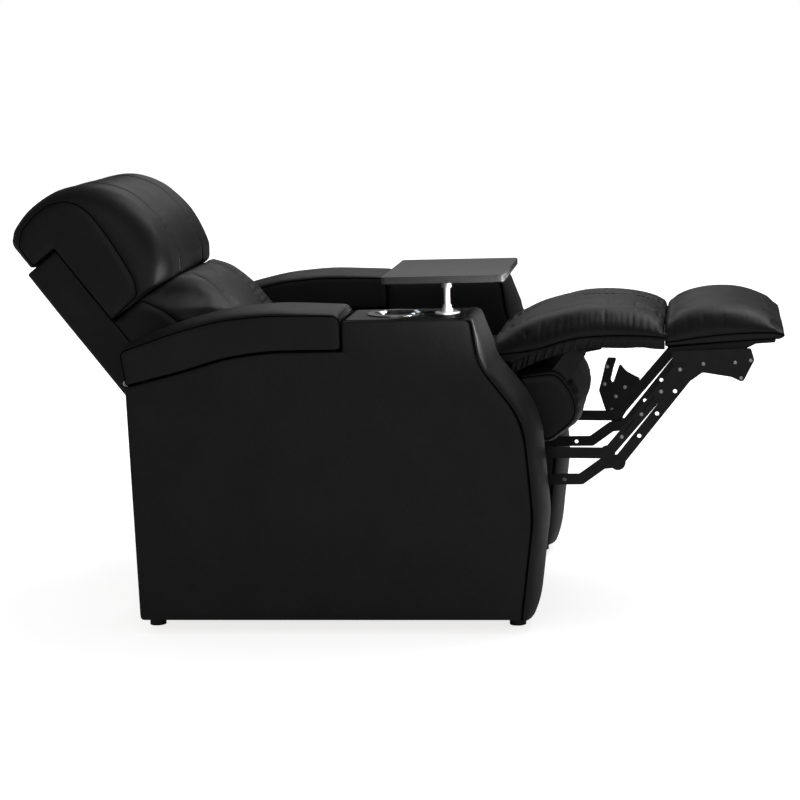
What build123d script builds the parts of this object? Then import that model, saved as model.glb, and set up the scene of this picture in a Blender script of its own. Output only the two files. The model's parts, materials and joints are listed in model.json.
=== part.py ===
"""Powered recliner: storage arms, swivel tray, gliding seat, reclining back, headrest and footrest linkage.

The chair faces -Y and stands on Z = 0, in its reclined pose. Outlines are drawn as (y, z) from the middle
of the feet, and those of the back as (along, out) from the foot of its rear face. Right is the sitter's
right, -X.
"""

import math
import os

from build123d import *

# Overall sizes
overall_width = 910.0
arm_width = 190.0
foot_height = 30.0
console_top = 680.0
footrest_end_y = -972.0

# Arms
arm_board = 18.0
arm_rear_y = 428.0
arm_rear_z = 545.0
arm_flat_z = 616.0
console_rear_y = -46.0
console_front_y = -298.0
console_board = 16.0
arm_waist = (-336.0, 582.0)
arm_belly = (-428.0, 462.0)
arm_foremost = (-444.0, 250.0)
arm_toe_y = -415.0
band_board = 12.0
band_crown = 28.0
band_proud = 2.0
nose_run = 26.0
front_radii = [24.0, 100.0, 180.0, 260.0]
lid_thickness = 76.0
lid_crown = 14.0
lid_gap = 1.0
lid_hinge_radius = 6.0
lid_pin_radius = 3.0
bin_floor_z = 430.0
bin_wall = 6.0
glide_radius = 18.0
glide_y = (403.0, -395.0)

# Console fittings
cup_y = -148.0
cup_radius = 44.0
cup_wall = 1.5
cup_depth = 85.0
cup_rim_radius = 58.0
cup_rim = 4.0
button_radius = 4.0
button_travel = 1.0
button_angles = {"recline_button": -60.0, "raise_button": -90.0, "light_button": -120.0}
post_y = -262.0
post_radius = 6.5
post_height = 68.0
flange_radius = 27.0
socket_radius = 11.0
tray_length = 360.0
tray_depth = 260.0
tray_thickness = 15.0
tray_overhang = 80.0
tray_bracket = 5.0

# Clearances
running_gap = 0.06
body_gap = 0.5
soft_gap = 0.4

# Room between the arm and the pieces beside it
rail_width = 14.0
plate_room = 39.0
seat_room = 21.0
roll_room = 22.0
chaise_room = 15.0
back_room = 21.0
head_room = 9.0

# Seat
plate = 4.0
frame_top_z = 450.0
frame_rail = 45.0
seat_rear_y = 122.0
seat_rear_z = 490.0
seat_crest = (-330.0, 566.0)
seat_seam = 110.0
seam_swell = 14.0
frame_front_y = -400.0
webbing = 2.0
roll_front_y = -540.0
roll_top_z = 545.0
roll_bottom_z = 372.0
chaise_end_y = -716.0
chaise_top_z = 664.0
fold_pivot = (-535.0, 578.0)
fold_pin_radius = 6.0
chaise_board = 8.0
chaise_under_z = 595.0
foot_under_z = 590.0
foot_top_z = 652.0
ottoman_lip_y = -723.0
link_sweep = 107.0

# Footrest linkage
link_width = 24.0
link_pin_radius = 6.0
tube_radius = 11.0
lower_pivot = (-400.0, 293.0)
lower_bend = (-531.0, 293.0)
lower_curve = (-579.0, 327.0)
lower_knee = (-612.0, 330.0)
upper_pivot = (-380.0, 356.0)
upper_knee = (-590.0, 352.0)
front_head = (-770.0, 525.0)
rear_head = (-750.0, 535.0)
knee_radius = 17.0
spring_hole = (-495.0, 292.0)
spring_hole_radius = 4.5
diagonal_holes = (0.3, 0.55, 0.8)
hook_plate = [
    (-606.0, 348.0), (-578.0, 343.0), (-564.0, 367.0), (-550.0, 413.0), (-558.0, 442.0), (-566.0, 475.0),
    (-573.0, 492.0), (-594.0, 491.0), (-586.0, 468.0), (-579.0, 438.0), (-584.0, 430.0), (-601.0, 477.0),
    (-617.0, 458.0), (-648.0, 441.0), (-644.0, 412.0),
]
hook_radii = [10.0, 10.0, 20.0, 10.0, 20.0, 12.0, 4.0, 4.0, 12.0, 3.0, 3.0, 3.0, 30.0, 4.0, 10.0]

# Base rails and actuators
rail_bottom_z = 210.0
rail_top_z = 240.0
rail_y = (-380.0, 300.0)
cross_rail_y = (-180.0, 365.0)
cross_rail = (30.0, 90.0)
inlet_room = 95.0
runner_y = (-250.0, 90.0)
runner_length = 80.0
runner_height = 14.0
track_size = (24.0, 22.0)
track_y = (-310.0, 60.0)
track_z = 236.0
crank_tip = (-427.0, 218.0)
carriage_length = 40.0
carriage_wall = 8.0

# Back, in (along, out) from the foot of its rear face
back_foot = (354.0, 330.0)
back_lean = 37.3
shell_depth = 84.0
shell_skin = 8.0
shell_panel = 14.0
shell_rear_pad = 5.0
back_length = 553.0
back_pivot = (-24.0, 238.0)
back_pin_radius = 8.0
back_travel = 27.0
back_lug = (-25.0, 45.0)
lift_x = 110.0
lift_length = 175.0
lift_rod_radius = 10.0
back_cushion_out = 292.0
back_seam = 120.0
first_strap = 80.0
strap_width = 50.0
head_drop = 201.0
head_gap = 26.0
head_edge = [
    (-193.0, 168.0), (-164.0, 184.0), (-105.0, 192.0), (-46.0, 198.0), (8.0, 200.0), (45.0, 193.0),
    (75.0, 166.0), (88.0, 112.0), (81.0, 54.0), (59.0, 27.0),
]
head_crown = [
    (-208.0, 226.0), (-181.0, 256.0), (-113.0, 277.0), (-48.0, 280.0), (22.0, 260.0), (75.0, 219.0),
    (103.0, 157.0), (111.0, 84.0), (98.0, 24.0), (77.0, 6.0),
]
head_board = 10.0
head_pivot_drop = 179.0
head_pivot_out = 150.0
head_pin_radius = 5.0
head_slot_x = (54.0, 82.0)
head_bracket_x = 62.0
head_bracket = 5.0

# Worked out from the sizes above
half_width = overall_width / 2
opening_half = half_width - arm_width
arm_x = half_width - arm_width / 2
rail_inner_x = opening_half - rail_width
plate_inner_x = opening_half - plate_room
seat_half = opening_half - seat_room
roll_half = opening_half - roll_room
chaise_half = opening_half - chaise_room
back_half = opening_half - back_room
head_half = opening_half - head_room
head_under = back_length - head_drop
post_top_z = console_top + post_height
head_pivot = (back_length - head_pivot_drop, head_pivot_out)
back_cushion_top = head_under - head_gap
sides = {"right": -1, "left": 1}
end_turns = [math.radians(angle) for angle in (0, 25, 45, 62, 78, 90)]
layer = [plate_inner_x + plate + body_gap + n * (plate + body_gap) for n in range(4)]
SIDE = Plane.YZ
lean = math.radians(back_lean)
BACK = Plane(origin=(0, *back_foot), x_dir=(0, math.sin(lean), math.cos(lean)), z_dir=(1, 0, 0))

nodes = {}


def rounded(points, radii, closed=True):
    """Edges of a polygon or open line whose corners are tangent arcs, limited by the runs beside them."""
    count = len(points)
    if isinstance(radii, (int, float)):
        radii = [radii] * count
    ends = []
    for n, (here, radius) in enumerate(zip(points, radii)):
        before, after = Vector(*points[n - 1]), Vector(*points[(n + 1) % count])
        corner = Vector(*here)
        back, ahead = before - corner, after - corner
        half = math.radians(back.get_angle(ahead)) / 2
        room = 0.47 * min(back.length, ahead.length)
        run = min(radius / math.tan(half), room)
        if run < 0.01 or (not closed and n in (0, count - 1)):
            ends.append((corner, None, corner))
            continue
        bisector = (back.normalized() + ahead.normalized()).normalized()
        reach = run / math.cos(half) - run * math.tan(half)
        start, end = corner + back.normalized() * run, corner + ahead.normalized() * run
        ends.append((start, corner + bisector * reach, end))
    edges = []
    for n, (start, middle, end) in enumerate(ends):
        if middle is not None:
            edges.append(ThreePointArc(start, middle, end))
        if closed or n < count - 1:
            edges.append(Line(end, ends[(n + 1) % count][0]))
    return edges


def face(plane, points, radii, x=0.0):
    """A closed outline with rounded corners, in the plane moved to x."""
    return plane.offset(x) * make_face(rounded(points, radii))


def slab(plane, points, radii, x0, x1):
    """The outline extruded from x0 to x1."""
    low, high = sorted((x0, x1))
    return extrude(face(plane, points, radii, low), amount=high - low, dir=(1, 0, 0))


def block(x0, x1, y0, y1, z0, z1):
    """A box between six planes."""
    size = (abs(x1 - x0), abs(y1 - y0), abs(z1 - z0))
    return Pos((x0 + x1) / 2, (y0 + y1) / 2, (z0 + z1) / 2) * Box(*size)


def rod(plane, point, radius, x0, x1):
    """A cylinder along X through a point of the plane."""
    low, high = sorted((x0, x1))
    return extrude(plane.offset(low) * (Pos(*point) * Circle(radius)), amount=high - low, dir=(1, 0, 0))


def bar(plane, points, width, x0, x1, holes=(), eyes=()):
    """A flat link with round ends through the points, with (point, radius) eyes and holes."""
    shape = Sketch()
    for start, end in zip(points, points[1:]):
        run, rise = end[0] - start[0], end[1] - start[1]
        middle = Pos((start[0] + end[0]) / 2, (start[1] + end[1]) / 2)
        turn = Rot(0, 0, math.degrees(math.atan2(rise, run)))
        shape += middle * turn * Rectangle(math.hypot(run, rise), width)
    for point, radius in [(point, width / 2) for point in points] + list(eyes):
        shape += Pos(*point) * Circle(radius)
    for point, radius in holes:
        shape -= Pos(*point) * Circle(radius)
    low, high = sorted((x0, x1))
    return extrude(plane.offset(low) * shape, amount=high - low, dir=(1, 0, 0))


def inset(points, distance):
    """The polygon with every edge moved inward by the distance."""
    area = sum(a[0] * b[1] - b[0] * a[1] for a, b in zip(points, points[1:] + points[:1]))
    inward = 1 if area > 0 else -1
    moved = []
    for before, here, after in zip(points[-1:] + points[:-1], points, points[1:] + points[:1]):
        lines = []
        for start, end in ((before, here), (here, after)):
            run, rise = end[0] - start[0], end[1] - start[1]
            length = math.hypot(run, rise)
            normal = (-inward * rise / length, inward * run / length)
            lines.append((normal, normal[0] * here[0] + normal[1] * here[1] + distance))
        (n1, d1), (n2, d2) = lines
        cross = n1[0] * n2[1] - n1[1] * n2[0]
        moved.append(((d1 * n2[1] - d2 * n1[1]) / cross, (d2 * n1[0] - d1 * n2[0]) / cross))
    return moved


def crowned(plane, edge, crown, radii, half, round_over, seams=(), groove=0.0):
    """A cushion lofted across X, whose end outline swells to the crown and is drawn in at sewn seams."""
    ends = [(half - round_over * (1 - math.sin(turn)), math.cos(turn)) for turn in end_turns]
    stations = [(-x, share, 0.0) for x, share in ends[::-1]]
    for seam in seams:
        stations += [(seam - seam_swell, 1.0, 0.0), (seam, 1.0, groove), (seam + seam_swell, 1.0, 0.0)]
    stations += [(x, share, 0.0) for x, share in ends]
    faces = []
    for x, share, depth in stations:
        points = [(a + share * (c - a), b + share * (d - b)) for (a, b), (c, d) in zip(edge, crown)]
        faces.append(face(plane, inset(points, depth), radii, x))
    return loft(faces, ruled=True)


def pair(make):
    """One solid on each side of the chair."""
    return group(make(side) for side in sides.values())


def group(solids):
    """Separate solids that share a node."""
    return Part() + list(solids)


def arm_front_path():
    """The seam that the front band follows, from the console down to the toe."""
    nose = (console_front_y - nose_run, console_top)
    corners = [(console_front_y, console_top), nose, arm_waist, arm_belly, arm_foremost]
    corners.append((arm_toe_y, foot_height))
    return SIDE * Wire(rounded(corners, [0.0, *front_radii, 0.0], closed=False))


def arm_front_band(centre):
    """The crowned leather band on the front board of an arm."""
    path = Pos(centre, 0, 0) * arm_front_path()
    half = arm_width / 2
    outline = Polyline((half, 0), (half, -band_board), (-half, -band_board), (-half, 0))
    crown = ThreePointArc((-half, 0), (0, band_crown), (half, 0))
    start = Plane(origin=path @ 0, x_dir=(1, 0, 0), z_dir=path % 0)
    section = make_face([*outline.edges(), crown])
    if (start.y_dir).Z < 0:
        start = Plane(origin=path @ 0, x_dir=(-1, 0, 0), z_dir=path % 0)
    band = sweep(start * section, path=path)
    top = console_top + band_proud
    over = block(centre - arm_width, centre + arm_width, console_front_y - 200, 0, top, top + 200)
    return band - over


def lid_underside(gap):
    """Points of the curved edge that the lid lies on, from the rear to the console."""
    return [
        (arm_rear_y - 4.0, arm_rear_z + gap),
        (300.0, arm_flat_z - 40.0 + gap),
        (205.0, arm_flat_z - 12.0 + gap),
        (110.0, arm_flat_z + gap),
        (console_rear_y + gap + 1.0, arm_flat_z + gap),
    ]


def arm_side(band, x0, x1):
    """One upholstered side board of an arm, cut back for the band and the console."""
    nose = (console_front_y - nose_run, console_top)
    points = [(arm_rear_y - 8.0, foot_height), (arm_rear_y, arm_rear_z), *lid_underside(0.0)[1:-1]]
    points += [(console_rear_y, arm_flat_z), (console_rear_y, console_top), nose]
    points += [arm_waist, arm_belly, arm_foremost, (arm_toe_y, foot_height)]
    radii = [12.0, 0.0, 200.0, 200.0, 200.0, 0.0, 0.0, *front_radii, 0.0]
    board = slab(SIDE, points, radii, x0, x1)
    over = block(x0, x1, console_front_y - 60, console_rear_y, console_top - console_board, console_top + 9)
    return board - band - over


def arm_lid(centre):
    """The curved padded lid, with its hinge knuckle."""
    under = lid_underside(lid_gap)
    front = under[-1][0]
    top = [
        (front, arm_flat_z + lid_thickness),
        (110.0, arm_flat_z + lid_thickness + 3.0),
        (210.0, arm_flat_z + lid_thickness - 6.0),
        (310.0, arm_flat_z + lid_thickness - 30.0),
        (arm_rear_y + 8.0, arm_rear_z + lid_thickness),
    ]
    radii = [6.0, 150.0, 150.0, 150.0, 5.0, 12.0, 220.0, 220.0, 220.0, 12.0]

    def section(offset, crown):
        raised = [(y, z + crown) for y, z in top]
        return face(SIDE, under + raised, radii, centre + offset)

    half = arm_width / 2
    rise = [(1.0, 0.0), (0.7, 0.6), (0.3, 0.95)]
    shape = [(-reach, share) for reach, share in rise] + rise[::-1]
    pad = loft([section(reach * half, share * lid_crown) for reach, share in shape], ruled=True)
    hinge = lid_hinge()
    leaf = block(centre - 20, centre + 20, arm_rear_y - 40, hinge[0], hinge[1], hinge[1] + lid_hinge_radius)
    leaf += block(centre - 20, centre + 20, arm_rear_y - 40, arm_rear_y - 14, arm_rear_z + 4, arm_rear_z + 20)
    below = [(0.0, arm_flat_z), *under[:3], (0.0, bin_floor_z)]
    leaf -= slab(SIDE, below, 0, centre - 30, centre + 30)
    knuckle = rod(SIDE, hinge, lid_hinge_radius, centre - 20, centre + 20)
    return pad + leaf + knuckle - rod(SIDE, hinge, lid_pin_radius + running_gap, centre - 21, centre + 21)


def lid_hinge():
    """The lid's hinge axis, behind and just under its rear edge."""
    return (arm_rear_y + lid_hinge_radius + 3.0, arm_rear_z + lid_gap - 1.0)


def lid_hinge_leaf(centre):
    """The fixed leaf of a lid hinge, with its two knuckles and its pin."""
    hinge = lid_hinge()
    leaf = block(centre - 60, centre + 60, arm_rear_y, arm_rear_y + 2, hinge[1] - 45, hinge[1])
    pin = rod(SIDE, hinge, lid_pin_radius, centre - 45, centre + 45)
    for x0, x1 in ((-45, -20 - body_gap), (20 + body_gap, 45)):
        leaf += rod(SIDE, hinge, lid_hinge_radius, centre + x0, centre + x1)
        leaf += block(centre + x0, centre + x1, arm_rear_y, hinge[0], hinge[1] - lid_hinge_radius, hinge[1])
    return leaf + pin


def storage_box(x0, x1, y0, y1, top):
    """The lined box under a lid: a floor and four boards, with a glue line between them."""
    low = bin_floor_z + bin_wall
    boards = [block(x0, x1, y0, y1, bin_floor_z, low)]
    low += running_gap
    boards += [block(x0, x1, y, y + bin_wall, low, top) for y in (y0, y1 - bin_wall)]
    y0, y1 = y0 + bin_wall + running_gap, y1 - bin_wall - running_gap
    boards += [block(x, x + bin_wall, y0, y1, low, top) for x in (x0, x1 - bin_wall)]
    return group(boards)


def build_arms():
    inner = arm_width - 2 * arm_board
    hinges = []
    for name, side in sides.items():
        centre = side * arm_x
        band = arm_front_band(centre)
        nodes[f"arm_front_band_{name}"] = band
        outer_x = side * half_width
        inner_x = side * opening_half
        nodes[f"arm_outer_panel_{name}"] = arm_side(band, outer_x, outer_x - side * arm_board)
        nodes[f"arm_inner_panel_{name}"] = arm_side(band, inner_x, inner_x + side * arm_board)
        x0, x1 = centre - inner / 2, centre + inner / 2
        wall_top = arm_rear_z - 12
        wall_y = (arm_rear_y - 8 - arm_board, arm_rear_y - 8)
        wall = block(x0, x1, *wall_y, foot_height + arm_board, wall_top)
        wall += block(x0, x1, wall_y[0], arm_rear_y, wall_top - 48, wall_top)
        nodes[f"arm_rear_wall_{name}"] = wall
        base_front = arm_toe_y + band_board + 4
        base = block(x0, x1, base_front, arm_rear_y - 8, foot_height, foot_height + arm_board)
        nodes[f"arm_base_board_{name}"] = base
        nodes[f"arm_storage_box_{name}"] = storage_box(x0, x1, console_rear_y + 6, wall_y[0], wall_top)
        nodes[f"arm_lid_{name}"] = arm_lid(centre)
        hinges.append(lid_hinge_leaf(centre))
        nodes[f"arm_console_{name}"] = arm_console(centre, side)
        nodes[f"cup_holder_{name}"] = cup_holder(centre, side)
    nodes["arm_lid_hinges"] = group(hinges)
    glides = [
        Pos(side * arm_x, y, 0) * (Pos(0, 0, foot_height / 2) * Cylinder(glide_radius, foot_height))
        for side in sides.values() for y in glide_y
    ]
    nodes["foot_glides"] = group(glides)


def arm_console(centre, side):
    """The console top with its riser behind, and holes for the cup holder and the tray socket."""
    half = arm_width / 2
    under = console_top - console_board
    top = block(centre - half, centre + half, console_front_y, console_rear_y, under, console_top)
    inner = half - arm_board
    top += block(centre - inner, centre + inner, console_rear_y - 12, console_rear_y, arm_flat_z - 60, under)
    hole = Cylinder(cup_radius + soft_gap, 4 * console_board)
    top -= Pos(centre, cup_y, console_top) * hole
    if side == sides["right"]:
        top -= Pos(centre, post_y, console_top) * Cylinder(socket_radius + soft_gap, 4 * console_board)
    return top


def button_place(centre, angle):
    """The middle of a rim button, seen from above."""
    ring = (cup_rim_radius + cup_radius) / 2
    turn = math.radians(angle)
    return centre + ring * math.cos(turn), cup_y + ring * math.sin(turn)


def cup_holder(centre, side):
    """A pressed steel cup that hangs on its rim."""
    cup = Pos(0, 0, console_top + cup_rim / 2) * Cylinder(cup_rim_radius, cup_rim)
    cup = fillet(cup.edges().group_by(Axis.Z)[-1], cup_rim / 3)
    cup += Pos(0, 0, console_top - cup_depth / 2) * Cylinder(cup_radius, cup_depth)
    bore = cup_depth + cup_rim
    cup -= Pos(0, 0, console_top - cup_depth + cup_wall + bore / 2) * Cylinder(cup_radius - cup_wall, bore)
    cup = Pos(centre, cup_y, 0) * cup
    if side == sides["right"]:
        for angle in button_angles.values():
            x, y = button_place(centre, angle)
            cup -= Pos(x, y, console_top) * Cylinder(button_radius + 0.2, 4 * cup_rim)
    return cup


def build_buttons():
    centre = -arm_x
    low, high = console_top + button_travel + 0.3, console_top + cup_rim + 0.8
    for name, angle in button_angles.items():
        x, y = button_place(centre, angle)
        cap = Pos(x, y, (low + high) / 2) * Cylinder(button_radius, high - low)
        nodes[name] = fillet(cap.edges().group_by(Axis.Z)[-1], 0.6)


def build_tray():
    centre = -arm_x
    socket_low = console_top - 40.0
    boss_top = console_top + 12.0
    flange = Pos(0, 0, console_top + 2) * Cylinder(flange_radius, 4)
    flange = fillet(flange.edges().group_by(Axis.Z)[-1], 1.5)
    flange += Pos(0, 0, (socket_low + boss_top) / 2) * Cylinder(socket_radius, boss_top - socket_low)
    depth = boss_top - socket_low - 5
    flange -= Pos(0, 0, boss_top - depth / 2) * Cylinder(post_radius + running_gap, depth)
    nodes["tray_flange"] = Pos(centre, post_y, 0) * flange
    post_low = boss_top - depth + body_gap
    post = Pos(0, 0, (post_low + post_top_z) / 2) * Cylinder(post_radius, post_top_z - post_low)
    post += Pos(0, 0, boss_top + body_gap + 3) * Cylinder(post_radius + 2.5, 6)
    nodes["tray_post"] = Pos(centre, post_y, 0) * post
    under = post_top_z + tray_bracket
    bracket = Pos(0, 0, post_top_z + tray_bracket / 2) * Box(60, 78, tray_bracket)
    bracket = fillet(bracket.edges().filter_by(Axis.Z), 8)
    bracket += Pos(0, 0, post_top_z - 6) * Cylinder(post_radius + 5, 12)
    bracket -= Pos(0, 0, post_top_z - 6) * Cylinder(post_radius + running_gap, 12)
    nodes["tray_bracket"] = Pos(centre, post_y, 0) * bracket
    top = Box(tray_length, tray_depth, tray_thickness)
    top = fillet(top.edges().filter_by(Axis.Z), 10)
    top = fillet(top.edges().group_by(Axis.Z)[-1] + top.edges().group_by(Axis.Z)[0], 2)
    x = centre - tray_overhang + tray_length / 2
    nodes["tray_top"] = Pos(x, post_y, under + tray_thickness / 2) * top


def build_base():
    def rail(side):
        x0, x1 = side * rail_inner_x, side * opening_half
        return block(x0, x1, *rail_y, rail_bottom_z, rail_top_z)

    nodes["base_rails"] = pair(rail)
    depth, height = cross_rail
    low = foot_height + arm_board + 2
    for name, y in zip(("front_cross_rail", "rear_cross_rail"), cross_rail_y):
        nodes[name] = block(-opening_half, opening_half, y, y + depth, low, low + height)
    y = cross_rail_y[1] + depth
    z = low + height / 2
    x = opening_half - inlet_room
    inlet = block(x - 20, x + 20, y, y + 12, z - 12, z + 12)
    inlet -= block(x - 10, x + 10, y + 4, y + 12, z - 6, z + 6)
    nodes["power_inlet"] = inlet


def seat_plate_points():
    """Outline of the steel side plate: linkage end, footrest fold at the nose, back pivot at the rear."""
    pivot = back_point(*back_pivot)
    ear = 2.3 * back_pin_radius
    points = [
        (lower_pivot[0] - 25, lower_pivot[1] - 25),
        (lower_pivot[0] + 100, lower_pivot[1] - 25),
        (lower_pivot[0] + 200, upper_pivot[1] - 26),
        (seat_rear_y - 62, upper_pivot[1] - 26),
        (pivot[0] + ear, frame_top_z - frame_rail),
        (pivot[0] + ear, pivot[1] + ear),
        (pivot[0] - ear, pivot[1] + ear),
        (pivot[0] - ear, frame_top_z - 4),
        (frame_front_y, frame_top_z - 4),
        (fold_pivot[0] + 25, fold_pivot[1] + 4),
        (fold_pivot[0] - 2, fold_pivot[1] + 14),
        (fold_pivot[0] - 14, fold_pivot[1] - 6),
        (fold_pivot[0] + 30, fold_pivot[1] - 70),
        (lower_pivot[0] - 25, frame_top_z - 30),
    ]
    radii = [14.0, 60.0, 60.0, 60.0, 20.0, 18.0, 18.0, 6.0, 60.0, 8.0, 10.0, 10.0, 40.0, 60.0]
    return points, radii


def seat_side_plate(side):
    """The steel plate that carries the linkage, the footrest fold and the back pivot."""
    x0 = side * plate_inner_x
    x1 = x0 + side * plate
    solid = slab(SIDE, *seat_plate_points(), x0, x1)
    solid -= rod(SIDE, back_point(*back_pivot), back_pin_radius + running_gap, x0, x1)
    solid -= rod(SIDE, lower_pivot, tube_radius + running_gap, x0, x1)
    solid -= rod(SIDE, fold_pivot, fold_pin_radius + running_gap, x0, x1)
    reach = side * (layer[2] + plate + body_gap)
    solid += rod(SIDE, upper_pivot, link_pin_radius, x1, reach)
    return solid + rod(SIDE, upper_pivot, 1.6 * link_pin_radius, reach, reach + side * 1.5)


def glide_runner(side):
    """Nylon runners on a bent bracket, which slide on the base rail."""
    x0 = side * (plate_inner_x + plate)
    x1 = side * (opening_half - 2)
    blocks = Part()
    for y in runner_y:
        y0, y1 = y - runner_length / 2, y + runner_length / 2
        blocks += block(side * rail_inner_x, x1, y0, y1, rail_top_z + body_gap, rail_top_z + runner_height)
        leaf_z = rail_top_z + runner_height + plate
        blocks += block(x0, x1, y0, y1, leaf_z - plate, leaf_z)
        blocks += block(x0, x0 + side * plate, y0, y1, leaf_z, upper_pivot[1] + 14)
    return blocks


def back_point(along, out):
    """A point of the back's outline as (y, z)."""
    place = BACK.from_local_coords((along, out, 0))
    return place.Y, place.Z


def seat_cushion():
    under = frame_top_z + webbing + soft_gap
    front = frame_front_y + 3
    crest_y, crest_z = seat_crest
    middle_y = (seat_rear_y + crest_y) / 2
    middle_z = (seat_rear_z + crest_z) / 2
    edge = [(seat_rear_y, under), (seat_rear_y + 2, seat_rear_z - 20), (middle_y, middle_z - 22)]
    edge += [(crest_y, crest_z - 38), (front + 1, crest_z - 51), (front, under)]
    crown = [(seat_rear_y, under), (seat_rear_y + 2, seat_rear_z - 2), (middle_y, middle_z + 4)]
    crown += [(crest_y, crest_z - 4), (front + 1, crest_z - 30), (front, under)]
    radii = [8.0, 16.0, 300.0, 60.0, 20.0, 8.0]
    return crowned(SIDE, edge, crown, radii, seat_half, 60.0, (-seat_seam, seat_seam), 4.0)


def seat_front_roll():
    """The padded roll under the knees, with slots for the side plates."""
    rear = frame_front_y - 1
    edge = [(rear, roll_bottom_z + 8), (rear, roll_top_z - 25), (roll_front_y + 58, roll_top_z - 15)]
    edge += [(roll_front_y + 18, roll_top_z - 69), (roll_front_y + 16, roll_bottom_z + 56)]
    edge.append((roll_front_y + 74, roll_bottom_z + 12))
    crown = [(rear, roll_bottom_z), (rear, roll_top_z - 14), (roll_front_y + 52, roll_top_z + 2)]
    crown += [(roll_front_y, roll_top_z - 67), (roll_front_y + 2, roll_bottom_z + 53)]
    crown.append((roll_front_y + 72, roll_bottom_z))
    roll = crowned(SIDE, edge, crown, [8.0, 10.0, 34.0, 60.0, 45.0, 25.0], roll_half, 50.0)
    points, radii = seat_plate_points()
    for side in sides.values():
        x0 = side * (plate_inner_x - body_gap)
        roll -= slab(SIDE, inset(points, -body_gap), radii, x0, x0 + side * (plate + 2 * body_gap))
    return roll


def build_seat():
    nodes["seat_side_plates"] = pair(seat_side_plate)
    nodes["glide_runners"] = pair(glide_runner)
    half = plate_inner_x - body_gap
    frame = block(-half, half, frame_front_y, seat_rear_y - 2, frame_top_z - frame_rail, frame_top_z)
    hole = block(-half + 40, half - 40, frame_front_y + 40, seat_rear_y - 42, 0, frame_top_z)
    nodes["seat_frame"] = frame - hole
    straps = []
    count, strap = 6, 55.0
    step = (seat_rear_y - frame_front_y - 60) / count
    for n in range(count):
        y = frame_front_y + 30 + step * (n + 0.5)
        straps.append(block(-half, half, y - strap / 2, y + strap / 2, frame_top_z, frame_top_z + webbing))
    nodes["seat_webbing"] = group(straps)
    nodes["seat_cushion"] = seat_cushion()
    nodes["seat_front_roll"] = seat_front_roll()


def chaise_pad():
    """The long pad from the seat's crest to the foot pad, which bends over the footrest's fold."""
    under = chaise_under_z + body_gap
    end, top = chaise_end_y, chaise_top_z
    fold = fold_pivot[0]
    crest_y, crest_z = seat_crest
    edge = [(crest_y - 10, crest_z + 2), (frame_front_y - 2, roll_top_z + 1), (fold - 8, under), (end, under)]
    edge += [(end, under + 7), (end + 26, under + 11), (end + 66, under + 15), (fold - 55, under + 17)]
    edge += [(fold + 15, under + 13), (fold + 105, under - 15), (crest_y - 22, crest_z + 8)]
    crown = [(crest_y - 8, crest_z + 5), (frame_front_y - 2, roll_top_z + 1), (fold - 8, under), (end, under)]
    crown += [(end, top - 42), (end + 26, top - 22), (end + 66, top - 8), (fold - 55, top)]
    crown += [(fold + 15, top - 3), (fold + 105, top - 27), (crest_y - 15, crest_z + 32)]
    radii = [3.0, 20.0, 60.0, 3.0, 5.0, 30.0, 90.0, 120.0, 120.0, 160.0, 3.0]
    return crowned(SIDE, edge, crown, radii, chaise_half, 88.0, (-seat_seam, seat_seam), 3.0)


def build_chaise():
    nodes["chaise_pad"] = chaise_pad()
    half = plate_inner_x - body_gap - 2
    under = chaise_under_z - chaise_board
    rear = fold_pivot[0] - 25
    board = block(-half, half, chaise_end_y + 2, rear, under, chaise_under_z)
    for side in sides.values():
        x0, x1 = side * half, side * (half - 6)
        board += bar(SIDE, [(rear - 15, under - 2), fold_pivot], 2.7 * fold_pin_radius, x0, x1)
        board += rod(SIDE, fold_pivot, fold_pin_radius, x1, side * (plate_inner_x + plate))
    nodes["chaise_board"] = board


def foot_pad():
    """The pad under the feet, thick in the middle and thin at its ends."""
    lip, end = ottoman_lip_y + 2, footrest_end_y
    under, top = foot_under_z, foot_top_z
    edge = [(lip + 3, under - 6), (end + 12, under + 12), (end + 3, under + 17), (end + 21, under + 23)]
    edge += [(end + 67, under + 23), (end + 122, under + 21), (lip - 69, under + 15), (lip - 24, under + 8)]
    edge.append((lip, under + 3))
    crown = [(lip + 3, under - 6), (end + 12, under + 12), (end, under + 27), (end + 22, top - 11)]
    crown += [(end + 67, top + 9), (end + 122, top + 17), (lip - 69, top + 12), (lip - 24, top - 6)]
    crown.append((lip, under + 30))
    return crowned(SIDE, edge, crown, [3.0, 4.0, 5.0, 30.0, 80.0, 110.0, 80.0, 40.0, 3.0], chaise_half, 88.0)


def build_footrest():
    lip = ottoman_lip_y
    end = footrest_end_y
    nodes["foot_pad"] = foot_pad()
    cover = [
        (lip + 2, foot_under_z - 7),
        (lip - 14, foot_under_z - 36),
        (end + 93, foot_under_z - 21),
        (end + 59, foot_under_z - 5),
        (end + 16, foot_under_z - 3),
        (end + 14, foot_under_z + 11),
    ]
    board = slab(SIDE, cover, [5.0, 12.0, 14.0, 14.0, 5.0, 2.0], -layer[2], layer[2])
    for side in sides.values():
        x0, x1 = side * (layer[1] - body_gap), side * layer[2]
        board -= block(x0, x1, lip - link_sweep, lip + 50, foot_under_z - 100, foot_under_z + 100)
    nodes["ottoman_board"] = board

    def bracket(side):
        x0 = side * layer[2]
        rail = [
            (lip - 10, foot_under_z - 16),
            (lip - 12, foot_under_z - 45),
            (rear_head[0] + 8, rear_head[1] - 16),
            (front_head[0], front_head[1] - 18),
            (front_head[0] - 28, front_head[1] + 2),
            (end + 112, foot_under_z - 74),
            (end + 88, foot_under_z - 86),
            (end + 63, foot_under_z - 38),
            (end + 70, foot_under_z - 12),
        ]
        return slab(SIDE, rail, [4.0, 8.0, 10.0, 14.0, 10.0, 10.0, 8.0, 8.0, 5.0], x0, x0 + side * plate)

    nodes["ottoman_brackets"] = pair(bracket)


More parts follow.
